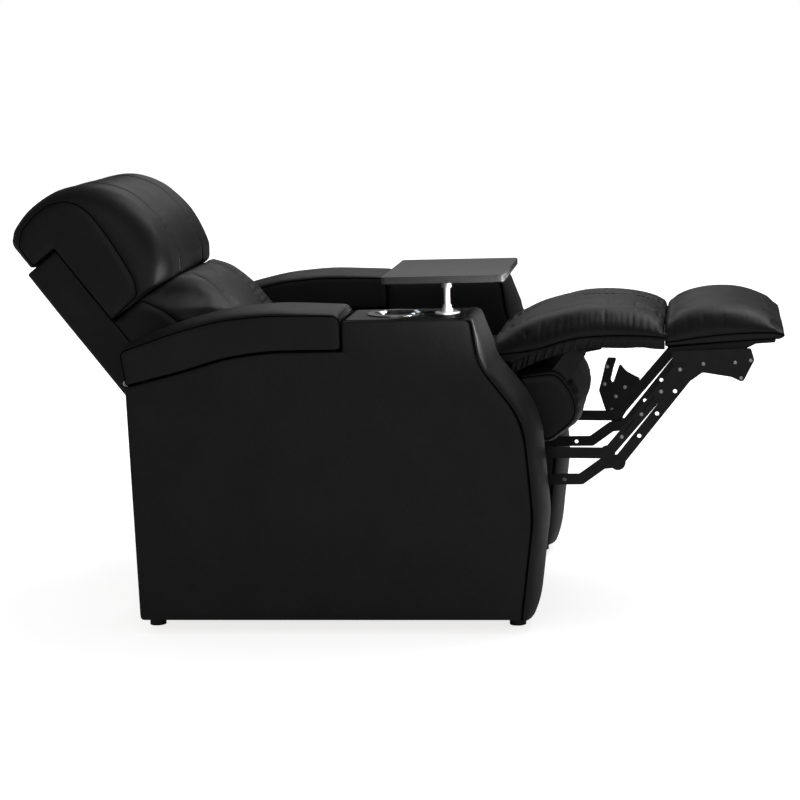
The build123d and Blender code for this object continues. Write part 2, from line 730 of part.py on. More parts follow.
def build_linkage():
    pin = link_pin_radius
    hole = pin + running_gap
    tube = rod(SIDE, lower_pivot, tube_radius, -layer[0], layer[0])
    tube += bar(SIDE, [lower_pivot, crank_tip], link_width, -4, 4)
    nodes["torque_tube"] = tube

    def riveted(link, point, side, start, end):
        x0, x1 = side * start, side * end
        return link + rod(SIDE, point, pin, x0, x1) + rod(SIDE, point, 1.6 * pin, x1, x1 + side * 1.5)

    def lower(side):
        x0 = side * layer[0]
        way = [lower_pivot, lower_bend, lower_curve, lower_knee]
        link = bar(SIDE, way, link_width, x0, x0 + side * plate, [(spring_hole, spring_hole_radius)],
                   [(lower_knee, knee_radius)])
        return riveted(link, lower_knee, side, layer[0] + plate, layer[2])

    def upper(side):
        x0 = side * layer[2]
        link = bar(SIDE, [upper_pivot, upper_knee], link_width, x0, x0 + side * plate, [(upper_pivot, hole)],
                   [(upper_knee, knee_radius)])
        return riveted(link, upper_knee, side, layer[2] + plate, layer[3] + plate + body_gap)

    def front(side):
        x0 = side * layer[1]
        start, end = Vector(*lower_knee), Vector(*front_head)
        holes = [(lower_knee, hole)]
        for share in diagonal_holes:
            spot = start + (end - start) * share
            holes.append(((spot.X, spot.Y), spring_hole_radius))
        return bar(SIDE, [lower_knee, front_head], link_width, x0, x0 + side * plate, holes,
                   [(lower_knee, knee_radius)])

    def rear(side):
        x0 = side * layer[3]
        link = bar(SIDE, [upper_knee, rear_head], link_width, x0, x0 + side * plate, [(upper_knee, hole)],
                   [(upper_knee, knee_radius)])
        if side == sides["left"]:
            hook = slab(SIDE, hook_plate, hook_radii, x0, x0 + side * plate)
            link += hook - rod(SIDE, upper_knee, hole, x0, x0 + side * plate)
        return link

    nodes["lower_links"] = pair(lower)
    nodes["upper_links"] = pair(upper)
    nodes["front_diagonals"] = pair(front)
    nodes["rear_diagonals"] = pair(rear)


def build_actuators():
    width, height = track_size
    hang = frame_top_z - frame_rail
    leg_y = track_y[0] + 14
    track = block(-width / 2, width / 2, *track_y, track_z, track_z + height)
    track += block(-width / 2, width / 2, leg_y, leg_y + plate, track_z + height, hang)
    track += block(-width / 2, width / 2, frame_front_y + 4, leg_y + plate, hang - 5, hang)
    nodes["footrest_track"] = track
    motor = block(-45, 45, track_y[1], track_y[1] + 110, track_z - 30, track_z + 50)
    motor = fillet(motor.edges().filter_by(Axis.Y), 12)
    motor += Pos(0, track_y[1] + 70, track_z + 95) * Cylinder(28, 120)
    motor += block(-30, 30, seat_rear_y - 40, seat_rear_y - 5, track_z + 40, hang)
    nodes["footrest_motor"] = motor
    grip_y = (track_y[0] + 22, track_y[0] + 22 + carriage_length)
    reach = width / 2 + carriage_wall
    carriage = block(-reach, reach, *grip_y, track_z - carriage_wall, track_z + height + carriage_wall)
    gap = body_gap
    inside = (width / 2 + gap, track_z - gap, track_z + height + gap)
    carriage -= block(-inside[0], inside[0], grip_y[0] - 10, grip_y[1] + 10, *inside[1:])
    for side in sides.values():
        x0 = side * 5.0
        fork = bar(SIDE, [(grip_y[0] + 4, track_z - 4), crank_tip], link_width - 6, x0, x0 + side * plate)
        carriage += fork - block(-reach, reach, crank_tip[0], 0, *inside[1:])
    nodes["footrest_carriage"] = carriage
    build_back_actuator(hang)


def back_lift():
    """The place of the back's lug when reclined, and the straight way it goes to upright, as (y, z)."""
    pivot = Vector(*back_point(*back_pivot))
    start = Vector(*back_point(*back_lug))
    end = pivot + (start - pivot).rotate(Axis.Z, back_travel)
    return start, (end - start).normalized()


def build_back_actuator(hang):
    lug, way = back_lift()
    foot = lug - way * lift_length
    beside = lift_x + plate + lift_rod_radius + body_gap
    axis = Plane(origin=(beside, foot.X, foot.Y), x_dir=(1, 0, 0), z_dir=(0, way.X, way.Y))
    tube = 0.7 * lift_length
    sleeve = axis * (Pos(0, 0, tube / 2) * Cylinder(lift_rod_radius + 7, tube))
    sleeve += axis * Cylinder(lift_rod_radius + 14, 60)
    hanger = [(seat_rear_y - 20, hang - 15), (foot.X, foot.Y)]
    sleeve += bar(SIDE, hanger, 30, beside - 4, beside + 4)
    bore = axis * (Pos(0, 0, tube / 2 + 10) * Cylinder(lift_rod_radius + running_gap, tube + 1))
    nodes["back_actuator_motor"] = sleeve - bore
    low = 15.0
    push_rod = Pos(0, 0, (low + lift_length) / 2) * Cylinder(lift_rod_radius, lift_length - low)
    nodes["back_actuator_rod"] = axis * push_rod


def back_block(along0, along1, out0, out1, x0, x1):
    """A box square to the back, between six planes."""
    points = [(along0, out0), (along1, out0), (along1, out1), (along0, out1)]
    return slab(BACK, points, 0, x0, x1)


def build_back():
    shell_foot = -10.0
    shell = back_block(shell_foot, back_length, -shell_rear_pad, shell_panel, -back_half, back_half)
    for side in sides.values():
        x0 = side * back_half
        shell += back_block(shell_foot, back_length, shell_panel, shell_depth, x0, x0 - side * shell_skin)
    nodes["back_shell"] = shell
    half = layer[0]
    frame_out = shell_depth - webbing
    frame = back_block(0.0, back_length - 8, shell_panel, frame_out, -half, half)
    for low, high in ((60.0, head_under - 60), (head_under + 10, back_length - 70)):
        frame -= back_block(low, high, 0.0, shell_depth, -half + 45, half - 45)
    lug = bar(BACK, [back_lug, (30.0, back_lug[1])], 30, lift_x - plate, lift_x + plate)
    nodes["back_frame"] = frame + lug
    straps = []
    step = (head_under - 2 - first_strap) / 3
    for n in range(4):
        along = first_strap + step * n
        straps.append(back_block(along, along + strap_width, frame_out, shell_depth, -half, half))
    nodes["back_webbing"] = group(straps)

    def bracket(side):
        x0 = side * layer[0]
        ear = 2.2 * back_pin_radius
        along, out = back_pivot
        points = [(along - ear, shell_depth - 18), (along - ear, out + ear), (along + ear, out + ear)]
        points += [(along + ear, shell_depth), (90.0, shell_depth), (90.0, 30.0), (10.0, 30.0)]
        plate_solid = slab(BACK, points, [20.0, 14.0, 14.0, 4.0, 8.0, 8.0, 12.0], x0, x0 + side * plate)
        pin_start = x0 + side * plate / 2
        return plate_solid + rod(BACK, back_pivot, back_pin_radius, pin_start, side * (plate_inner_x - 3))

    nodes["back_brackets"] = pair(bracket)
    nodes["back_cushion"] = back_cushion()


def back_cushion():
    """The back pad, whose top slopes down in front so that the headrest can tilt."""
    rear, out, top = shell_depth + soft_gap, back_cushion_out, back_cushion_top
    edge = [(3.0, rear), (3.0, out - 106), (30.0, out - 88), (0.4 * top, out - 80), (top - 101, out - 86)]
    edge += [(top - 30, out - 100), (top, out - 120), (top + 14, out - 140), (top + 22, out - 172)]
    edge.append((top + 22, rear))
    crown = [(3.0, rear), (3.0, out - 56), (30.0, out - 16), (0.4 * top, out), (top - 101, out - 9)]
    crown += [(top - 34, out - 30), (top - 8, out - 78), (top + 10, out - 114), (top + 22, out - 152)]
    crown.append((top + 22, rear))
    radii = [6.0, 40.0, 60.0, 150.0, 120.0, 60.0, 20.0, 20.0, 12.0, 3.0]
    cushion = crowned(BACK, edge, crown, radii, back_half, 80.0, (-back_seam, back_seam), 4.0)
    for side in sides.values():
        x0 = side * (head_bracket_x - 2)
        x1 = x0 + side * (head_bracket + 4)
        cushion -= back_block(head_under - 28, head_under, rear - 1, head_pivot_out + 15, x0, x1)
    return cushion


def build_headrest():
    inner = shell_depth + 3
    outer = inner + head_board
    board = back_block(head_under + 6, back_length - 4, inner, outer, 56 - head_half, head_half - 56)
    rear = outer + soft_gap
    ends = ((head_under, rear), (back_length + 4, head_edge[-1][1]), (back_length + 4, rear))
    edge = [ends[0], *[(back_length + along, out) for along, out in head_edge], *ends[1:]]
    crown = [ends[0], *[(back_length + along, out) for along, out in head_crown]]
    crown += [(back_length + 4, head_crown[-1][1]), ends[2]]
    radii = [4.0, 26.0, 40.0, 120.0, 120.0, 90.0, 80.0, 80.0, 70.0, 40.0, 20.0, 4.0, 4.0]
    cushion = crowned(BACK, edge, crown, radii, head_half, 70.0, (-back_seam, back_seam), 3.2)
    arms = Part()
    for side in sides.values():
        x0, x1 = (side * x for x in head_slot_x)
        cushion -= back_block(head_under - 20, head_pivot[0] + 21, outer - 5, head_pivot[1] + 38, x0, x1)
        x = side * (head_bracket_x + head_bracket + 2)
        arm_plate = bar(BACK, [(head_pivot[0] + 4, inner + 8), head_pivot], 22, x, x + side * head_bracket,
                        [(head_pivot, head_pin_radius + running_gap)])
        arms += arm_plate - back_block(head_under - 50, head_under + 100, 0.0, outer, -100, 100)
    nodes["headrest_cushion"] = cushion
    nodes["headrest_board"] = board + arms

    def bracket(side):
        x = side * head_bracket_x
        along, out = head_pivot
        low = head_under - 24
        points = [(low, shell_depth - webbing), (low + 21, shell_depth - webbing), (low + 22, out - 38)]
        points += [(along + 12, out - 10), (along + 10, out + 12), (along - 10, out + 12), (low, out - 38)]
        arm_plate = slab(BACK, points, [0.0, 0.0, 12.0, 10.0, 9.0, 9.0, 20.0], x, x + side * head_bracket)
        return arm_plate + rod(BACK, head_pivot, head_pin_radius, x, x + side * 13)

    nodes["headrest_brackets"] = pair(bracket)


build_arms()
build_buttons()
build_tray()
build_base()
build_seat()
build_chaise()
build_footrest()
build_linkage()
build_actuators()
build_back()
build_headrest()

rear_y = nodes["headrest_cushion"].bounding_box().max.Y
front_y = nodes["foot_pad"].bounding_box().min.Y
origin_shift_y = -(rear_y + front_y) / 2

if __name__ == "__main__":
    os.makedirs("parts", exist_ok=True)
    for name, solid in nodes.items():
        export_step(Pos(0, origin_shift_y, 0) * solid, f"parts/{name}.step")
    print(len(nodes), "nodes")
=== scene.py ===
import json
import math

import bpy
import numpy as np
from mathutils import Matrix, Vector, noise


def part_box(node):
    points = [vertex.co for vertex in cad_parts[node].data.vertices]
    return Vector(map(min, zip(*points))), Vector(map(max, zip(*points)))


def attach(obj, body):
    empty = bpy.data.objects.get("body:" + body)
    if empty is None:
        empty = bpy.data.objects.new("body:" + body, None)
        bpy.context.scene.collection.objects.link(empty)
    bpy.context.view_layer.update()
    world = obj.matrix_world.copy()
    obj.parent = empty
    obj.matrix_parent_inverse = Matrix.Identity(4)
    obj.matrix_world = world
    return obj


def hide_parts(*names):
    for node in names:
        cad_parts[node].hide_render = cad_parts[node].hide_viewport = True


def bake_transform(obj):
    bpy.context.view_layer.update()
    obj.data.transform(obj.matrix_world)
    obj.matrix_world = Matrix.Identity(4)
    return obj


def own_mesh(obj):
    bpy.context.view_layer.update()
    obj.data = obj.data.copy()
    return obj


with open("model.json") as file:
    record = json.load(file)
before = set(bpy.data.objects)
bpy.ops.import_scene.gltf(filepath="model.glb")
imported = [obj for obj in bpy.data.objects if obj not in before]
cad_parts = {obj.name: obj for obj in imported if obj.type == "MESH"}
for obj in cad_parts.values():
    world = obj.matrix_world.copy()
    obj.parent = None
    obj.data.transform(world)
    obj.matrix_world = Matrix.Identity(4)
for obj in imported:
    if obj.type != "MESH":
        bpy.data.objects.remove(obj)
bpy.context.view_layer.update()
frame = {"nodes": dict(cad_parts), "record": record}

# Lengths below are millimetres. Outlines are (y, z) of the chair, or (along, out) of the leaning back.
MM = 0.001
CONSOLE_REAR_Y = -46.0
# From the outlines' y to the frame's, in metres
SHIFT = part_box("arm_console_right")[1].y - CONSOLE_REAR_Y * MM
BACK_FOOT = (354.0, 330.0)
BACK_LEAN = math.radians(37.3)
SIDES = {"right": -1, "left": 1}
CONSOLE_LOW, CONSOLE_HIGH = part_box("arm_console_left")
ARM_X = 1000 * (CONSOLE_LOW.x + CONSOLE_HIGH.x) / 2
ARM_HALF = 500 * (CONSOLE_HIGH.x - CONSOLE_LOW.x)


# Places: from a flat outline to the frame

def side_place(outline, x):
    """Points of a (y, z) outline at a distance x to the sitter's left."""
    return np.column_stack((np.full(len(outline), x * MM), outline[:, 0] * MM + SHIFT, outline[:, 1] * MM))


def back_place(outline, x):
    """Points of an (along, out) outline of the back at x."""
    along, out = outline[:, 0], outline[:, 1]
    y = BACK_FOOT[0] + along * math.sin(BACK_LEAN) - out * math.cos(BACK_LEAN)
    z = BACK_FOOT[1] + along * math.cos(BACK_LEAN) + out * math.sin(BACK_LEAN)
    return side_place(np.column_stack((y, z)), x)


def shell_place(outline, along):
    """Points of an (x, out) section of the back at a distance along it."""
    points = back_place(np.column_stack((np.full(len(outline), along), outline[:, 1])), 0.0)
    points[:, 0] = outline[:, 0] * MM
    return points


def rear_place(outline, y):
    """Points of an (x, z) outline that faces the rear, at y."""
    return np.column_stack((outline[:, 0] * MM, np.full(len(outline), y * MM + SHIFT), outline[:, 1] * MM))


def top_place(outline, z):
    """Points of an (x, y) outline at a height z."""
    return np.column_stack((outline[:, 0] * MM, outline[:, 1] * MM + SHIFT, np.full(len(outline), z * MM)))


# Outlines

# Step of an outline's samples, least samples in a corner, and reach of the smoothing along it
RUN_STEP = 5.0
CORNER_STEPS = 4
SOFTEN = 20.0
# Corner radii where the smoothing starts and where it is whole
SHARP_RADIUS, SOFT_RADIUS = 24.0, 64.0
# Most of an edge that a corner's rounding takes up, and the least rounding
EDGE_SHARE, LEAST_RUN, LEAST_RADIUS = 0.48, 0.05, 0.5
CURVE_STEPS = 24


def lengths_along(points):
    """Distance of every point from the first, along the line."""
    return np.concatenate(([0], np.cumsum(np.linalg.norm(np.diff(points, axis=0), axis=1))))


def evenly(line, step):
    """Points at an even step along a line, and their distances along it."""
    along = lengths_along(line)
    even = np.linspace(0, along[-1], max(2, int(along[-1] / step)))
    return np.column_stack([np.interp(even, along, line[:, n]) for n in range(2)]), even


def corner_curve(start, corner, end, count):
    """Samples of the curve that rounds a corner."""
    start, corner, end = (np.array(point, float) for point in (start, corner, end))
    return [(1 - t) ** 2 * start + 2 * t * (1 - t) * corner + t ** 2 * end for t in np.linspace(0, 1, count)]


def moved_in(points, distance):
    """The polygon with every edge moved inward."""
    points = [tuple(p) for p in points]
    after = points[1:] + points[:1]
    area = sum(a[0] * b[1] - b[0] * a[1] for a, b in zip(points, after))
    inward = 1 if area > 0 else -1
    moved = []
    for before, here, ahead in zip(points[-1:] + points[:-1], points, after):
        lines = []
        for start, end in ((before, here), (here, ahead)):
            run, rise = end[0] - start[0], end[1] - start[1]
            length = math.hypot(run, rise)
            normal = (-inward * rise / length, inward * run / length)
            lines.append((normal, normal[0] * here[0] + normal[1] * here[1] + distance))
        (n1, d1), (n2, d2) = lines
        cross = n1[0] * n2[1] - n1[1] * n2[0]
        if abs(cross) < 1e-6:
            moved.append((here[0] + n1[0] * distance, here[1] + n1[1] * distance))
            continue
        moved.append(((d1 * n2[1] - d2 * n1[1]) / cross, (d2 * n1[0] - d1 * n2[0]) / cross))
    return moved


class Outline:
    """A closed outline with rounded corners, sampled alike however far it is moved in."""

    def __init__(self, points, radii, step=RUN_STEP):
        self.points = [tuple(map(float, p)) for p in points]
        self.radii = [float(radii)] * len(points) if isinstance(radii, (int, float)) else list(radii)
        self.runs = [1] * len(points)
        corners = self.corners(self.points, self.radii)
        self.turns = [max(CORNER_STEPS, round(math.dist(start, end) / step)) for start, end in corners]
        for n, (_, end) in enumerate(corners):
            start = corners[(n + 1) % len(corners)][0]
            self.runs[n] = max(1, round(math.dist(end, start) / step))
        counts = [turn + run for turn, run in zip(self.turns, self.runs)]
        self.first = np.concatenate(([0], np.cumsum(counts)[:-1]))
        # The weights are worked out from the outline without them
        self.blend = None
        self.blend = self.softening()

    def softening(self):
        """Weights that average the samples along the outline's soft stretches, so that no flats show."""
        soft = np.clip((np.array(self.radii) - SHARP_RADIUS) / (SOFT_RADIUS - SHARP_RADIUS), 0, 1)
        shares = []
        for n, run in enumerate(self.runs):
            shares += [soft[n]] * self.turns[n]
            shares += list(np.linspace(soft[n], soft[(n + 1) % len(soft)], run + 2)[1:-1])
        ring = self.ring()
        along = lengths_along(ring)
        total = along[-1] + math.dist(ring[-1], ring[0])
        apart = np.abs(along[:, None] - along[None, :])
        apart = np.minimum(apart, total - apart)
        spacing = np.gradient(np.append(along, total))[:-1]
        weights = np.exp(-0.5 * (apart / SOFTEN) ** 2) * spacing[None, :]
        weights /= weights.sum(1, keepdims=True)
        shares = np.array(shares)[:, None]
        return shares * weights + (1 - shares) * np.eye(len(ring))

    @staticmethod
    def corners(points, radii):
        """Where the rounding of each corner starts and ends."""
        ends = []
        for n, here in enumerate(points):
            corner = Vector(here)
            back, ahead = Vector(points[n - 1]) - corner, Vector(points[(n + 1) % len(points)]) - corner
            half = max(back.angle(ahead) / 2, 1e-3)
            run = min(radii[n] / math.tan(half), EDGE_SHARE * min(back.length, ahead.length))
            run = max(run, LEAST_RUN)
            ends.append((tuple(corner + back.normalized() * run), tuple(corner + ahead.normalized() * run)))
        return ends

    def ring(self, inset=0.0, other=None, share=0.0):
        """The sampled outline, moved in, or part of the way to another outline."""
        points = self.points
        if other is not None:
            points = [tuple(np.add(p, share * np.subtract(q, p))) for p, q in zip(points, other.points)]
        if inset:
            points = moved_in(points, inset)
        radii = [max(r - inset, LEAST_RADIUS) for r in self.radii]
        corners = self.corners(points, radii)
        samples = []
        for n, (start, end) in enumerate(corners):
            samples += corner_curve(start, points[n], end, self.turns[n])
            end, goal = np.array(end), np.array(corners[(n + 1) % len(corners)][0])
            for k in range(1, self.runs[n] + 1):
                samples.append(end + (goal - end) * k / (self.runs[n] + 1))
        samples = np.array(samples)
        return samples if self.blend is None else self.blend @ samples

    def span(self, first, last):
        """Sample indices from the middle of one corner to the middle of another."""
        start, end = (int(self.first[n]) + self.turns[n] // 2 for n in (first, last))
        return range(start, end + 1)


def outward(ring):
    """Unit normals of a closed ring, pointing out."""
    run = np.roll(ring, -1, 0) - np.roll(ring, 1, 0)
    run /= np.maximum(np.linalg.norm(run, axis=1, keepdims=True), 1e-9)
    area = np.sum(ring[:, 0] * np.roll(ring[:, 1], -1) - np.roll(ring[:, 0], -1) * ring[:, 1])
    turn = 1 if area > 0 else -1
    return np.column_stack((turn * run[:, 1], -turn * run[:, 0]))


# Meshes

THREAD = 1.3
THREAD_SIDES = 6
# A direction that no seam runs in
OFF_AXIS = (0.31, 0.87, 0.38)
SEED_SHIFT = (13.7, 5.1, 8.3)


def mesh_object(name, points, faces, material, body=None, smooth=True):
    """A mesh in the scene, which rides on a body where one is named."""
    mesh = bpy.data.meshes.new(name)
    mesh.from_pydata([tuple(p) for p in points], [], faces)
    mesh.materials.append(material)
    mesh.polygons.foreach_set("use_smooth", [smooth] * len(mesh.polygons))
    mesh.update()
    piece = bpy.data.objects.new(name, mesh)
    bpy.context.scene.collection.objects.link(piece)
    if body is not None:
        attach(piece, body)
    return piece


def facing_out(mesh):
    """Turns all faces outward on a closed mesh."""
    mesh.update()
    volume = 0.0
    for polygon in mesh.polygons:
        corners = [mesh.vertices[v].co for v in polygon.vertices]
        for b, c in zip(corners[1:], corners[2:]):
            volume += corners[0].dot(b.cross(c))
    if volume < 0:
        mesh.flip_normals()


def loft(name, rings, material, body=None, closed=False):
    """A skin over rings of equal counts, with flat ends, or closed from the last ring to the first."""
    count = len(rings[0])
    faces = []
    for k in range(len(rings) if closed else len(rings) - 1):
        after = (k + 1) % len(rings)
        for n in range(count):
            m = (n + 1) % count
            faces.append((k * count + n, k * count + m, after * count + m, after * count + n))
    if not closed:
        faces.append(tuple(range(count))[::-1])
        faces.append(tuple(range((len(rings) - 1) * count, len(rings) * count)))
    piece = mesh_object(name, np.concatenate(rings), faces, material, body)
    facing_out(piece.data)
    return piece


def stitch(name, points, closed=False):
    """A round thread along points in the frame."""
    run = np.roll(points, -1, 0) - np.roll(points, 1, 0) if closed else np.gradient(points, axis=0)
    run /= np.maximum(np.linalg.norm(run, axis=1, keepdims=True), 1e-12)
    across = np.cross(run, OFF_AXIS)
    across /= np.linalg.norm(across, axis=1, keepdims=True)
    up = np.cross(across, run)
    turns = np.linspace(0, 2 * math.pi, THREAD_SIDES, endpoint=False)
    lines = [points + THREAD * MM * (math.cos(a) * across + math.sin(a) * up) for a in turns]
    return loft(name, list(np.stack(lines, 1)), material_of("thread"), closed=closed)


def joined(name, pieces, body=None):
    """Several pieces of one material as one object."""
    places, faces = [], []
    for piece in pieces:
        base = len(places)
        places += [v.co.copy() for v in piece.data.vertices]
        faces += [tuple(base + v for v in p.vertices) for p in piece.data.polygons]
    result = mesh_object(name, places, faces, pieces[0].data.materials[0], body)
    for piece in pieces:
        bpy.data.objects.remove(piece)
    return result


def values_of(mesh, name):
    """The vertices' places or normals, one row each."""
    values = np.empty(len(mesh.vertices) * 3)
    mesh.vertices.foreach_get(name, values)
    return values.reshape(-1, 3)


def ripple(places, scale, seed):
    """Smooth values from about -1 to 1 at places in the frame."""
    offset = Vector([part * seed for part in SEED_SHIFT])
    return np.array([noise.noise(Vector(p) / (scale * MM) + offset) for p in places])


def rumple(piece, amount, scale, seed):
    """Small soft unevenness along the surface normals."""
    mesh = piece.data
    places, normals = values_of(mesh, "co"), values_of(mesh, "normal")
    lift = amount * MM * ripple(places, scale, seed)
    mesh.vertices.foreach_set("co", (places + normals * lift[:, None]).ravel())
    mesh.update()


def board_cover(name, node, rings, body, unevenness=None):
    """A leather cover for a node, over rings, with a rumple's values where it is uneven."""
    piece = loft(name, rings, material_of("leather"), body)
    if unevenness:
        rumple(piece, *unevenness)
    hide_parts(node)
    return piece


# Cushions

SIM_FRAMES = 16
CLOTH = {"quality": 4, "mass": 0.4, "tension_stiffness": 20.0, "compression_stiffness": 20.0,
         "shear_stiffness": 8.0, "bending_stiffness": 2.0, "shrink_min": -0.02, "use_pressure": True,
         "uniform_pressure_force": 4.0}
# Points this near a seam are sewn down, and those farther than the reach swell fully
SEWN_WIDTH, SEWN_REACH = 1.0, 22.0


def stuffed(piece, shares, cap):
    """Blows a cover up against its sewn points, as stuffing does.

    Each point keeps its share of a move that is held to the cap, and points without a share are sewn.
    """
    scene = bpy.context.scene
    trial = bpy.data.objects.new("trial", piece.data.copy())
    scene.collection.objects.link(trial)
    sewn = [int(n) for n in np.flatnonzero(shares == 0)]
    trial.vertex_groups.new(name="sewn").add(sewn, 1.0, "REPLACE")
    cloth = trial.modifiers.new("cloth", "CLOTH")
    cloth.point_cache.frame_start, cloth.point_cache.frame_end = 1, SIM_FRAMES
    for name, value in CLOTH.items():
        setattr(cloth.settings, name, value)
    cloth.settings.vertex_group_mass = "sewn"
    cloth.settings.effector_weights.gravity = 0.0
    for number in range(1, SIM_FRAMES + 1):
        scene.frame_set(number)
    swollen = trial.evaluated_get(bpy.context.evaluated_depsgraph_get()).data
    start = values_of(piece.data, "co")
    move = values_of(swollen, "co") - start
    far = np.linalg.norm(move, axis=1, keepdims=True)
    move *= shares[:, None] * np.tanh(far / (cap * MM)) * cap * MM / np.maximum(far, 1e-9)
    piece.data.vertices.foreach_set("co", (start + move).ravel())
    piece.data.update()
    bpy.data.objects.remove(trial)
    scene.frame_set(1)


SEAM_STEPS = (0.0, 1.2, 2.6, 4.5, 7.0, 11.0, 17.0, 26.0)
END_STEPS = 12
STATION_STEP, LEAST_STEP = 10.0, 0.6
BOARD_TURNS = 5
BOARD_STEP = 16.0
BOARD_ROUND = 3.0


def stations(half, round_over, seams):
    """Distances across a cushion, close together at its ends and seams."""
    ends = half - round_over + round_over * np.sin(np.linspace(0, math.pi / 2, END_STEPS))
    inner = np.arange(0, half - round_over, STATION_STEP)
    places = [*ends, *-ends, *inner, *-inner]
    for seam in seams:
        places += [seam + d for d in SEAM_STEPS] + [seam - d for d in SEAM_STEPS]
    places = np.unique(np.round([p for p in places if abs(p) <= half], 3))
    keep = [places[0]]
    for p in places[1:]:
        if p - keep[-1] > LEAST_STEP:
            keep.append(p)
    keep[-1] = half
    return keep


def board_stations(half):
    """Distances and insets across a wrapped board with rounded edges."""
    flat = half - BOARD_ROUND
    turns = np.linspace(0, math.pi / 2, BOARD_TURNS)
    rounded = [(flat + BOARD_ROUND * math.sin(a), BOARD_ROUND * (1 - math.cos(a))) for a in turns]
    between = [(x, 0.0) for x in np.linspace(-flat, flat, max(2, int(2 * half / BOARD_STEP)))[1:-1]]
    ends = [(half, BOARD_ROUND + 1.0), (half, BOARD_ROUND + 1.5)]
    return [(-x, inset) for x, inset in (rounded + ends)[::-1]] + between + rounded + ends


# A seam is a groove in a wider dip. Folds start beside it, and their phase wanders along it.
GROOVE_WIDTH, DIP_WIDTH, DIP_SHARE = 3.2, 14.0, 0.35
FOLD_START, FOLD_WANDER, WANDER_WAVES = 2.0, 3.0, 2.3
UNEVEN_FADE = 8.0
PUCKER = (0.5, 17.0, 16.0)
# Inset and rise of an end panel's rim: a share of its bulge or, below zero, millimetres
PANEL_EDGE = [(0.0, 0.0), (0.8, -1.2), (2.2, 0.2), (5.0, 0.45)]
THREAD_RISE = 0.6
WELT_INSET, WELT_BACK = 0.6, 0.4


def cushion(name, node, place, shape, half, round_over, uneven, seams=(), seam_span=None, centre=0.0,
            groove=0.0, pucker=PUCKER, panel_bulge=4.0, panel_inset=16.0, body=None, swell=0.0):
    """A crowned leather form for a node, between two end panels and sewn at its seams, and its stitching.

    The shape is an edge outline, the crown outline that it grows to, and the radii of both. The values of
    uneven are height, scale and seed, and those of pucker are height, wave and reach.
    """
    edge, crown = (Outline(points, shape[2]) for points in shape[:2])
    places = stations(half, round_over, seams)
    lift, scale, seed = uneven
    amount, wave, reach = pucker

    def form(x):
        beyond = max(0.0, (abs(x) - (half - round_over)) / round_over)
        return edge.ring(other=crown, share=math.sqrt(max(0.0, 1 - beyond * beyond)))

    around = lengths_along(form(places[0]))

    def skin(x):
        ring = form(x)
        depth = np.zeros(len(ring))
        for seam, deep in [(seam, groove) for seam in seams] + [(half, 0.0), (-half, 0.0)]:
            away = abs(x - seam)
            dip = DIP_SHARE * deep * math.exp(-(away / DIP_WIDTH) ** 2)
            depth += deep * math.exp(-(away / GROOVE_WIDTH) ** 2) + dip
            wander = FOLD_WANDER * np.sin(around / (WANDER_WAVES * wave) + seam)
            folds = np.sin(2 * math.pi * around / wave + wander)
            depth += amount * folds * math.exp(-away / reach) * (1 - math.exp(-away / FOLD_START))
        bumps = lift * ripple(place(ring, centre + x), scale, seed)
        depth -= bumps * (1 - math.exp((abs(x) - half) / UNEVEN_FADE))
        return ring - outward(ring) * depth[:, None]

    def end_panel(sign):
        profile = PANEL_EDGE + [(0.6 * panel_inset, 0.85), (panel_inset, 1.0), (panel_inset + 1.0, 1.0)]
        made = []
        for inset, share in profile:
            rise = share if share < 0 else share * panel_bulge
            made.append(place(edge.ring(inset=inset), centre + sign * (half + rise)))
        return made

    rings = [place(skin(x), centre + x) for x in places]
    left, right = end_panel(-1), end_panel(1)
    piece = loft(name, left[:0:-1] + rings + right[1:], material_of("leather"), body)
    span = list(edge.span(*seam_span)) if seam_span else []
    if swell:
        shares = np.zeros((len(left) + len(right) + len(rings) - 2, len(rings[0])))
        for n, x in enumerate(places):
            away = min(abs(x - line) for line in (*seams, -half, half))
            shares[n + len(left) - 1, span] = min(1.0, away / SEWN_REACH) if away > SEWN_WIDTH else 0.0
        stuffed(piece, shares.ravel(), swell)
    threads = []
    for seam in seams:
        line = skin(seam)
        line = line + outward(line) * THREAD_RISE
        threads.append(stitch(f"{name}_seam", place(line[span], centre + seam)))
    welt = edge.ring(inset=WELT_INSET)
    for sign in (-1, 1):
        threads.append(stitch(f"{name}_welt", place(welt, centre + sign * (half - WELT_BACK)), closed=True))
    stitching = joined(f"{name}_stitching", threads, body)
    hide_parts(node)
    return piece, stitching


# Materials

MATERIALS = {}


def material_of(name):
    """A material by its slot's name."""
    return MATERIALS[name]


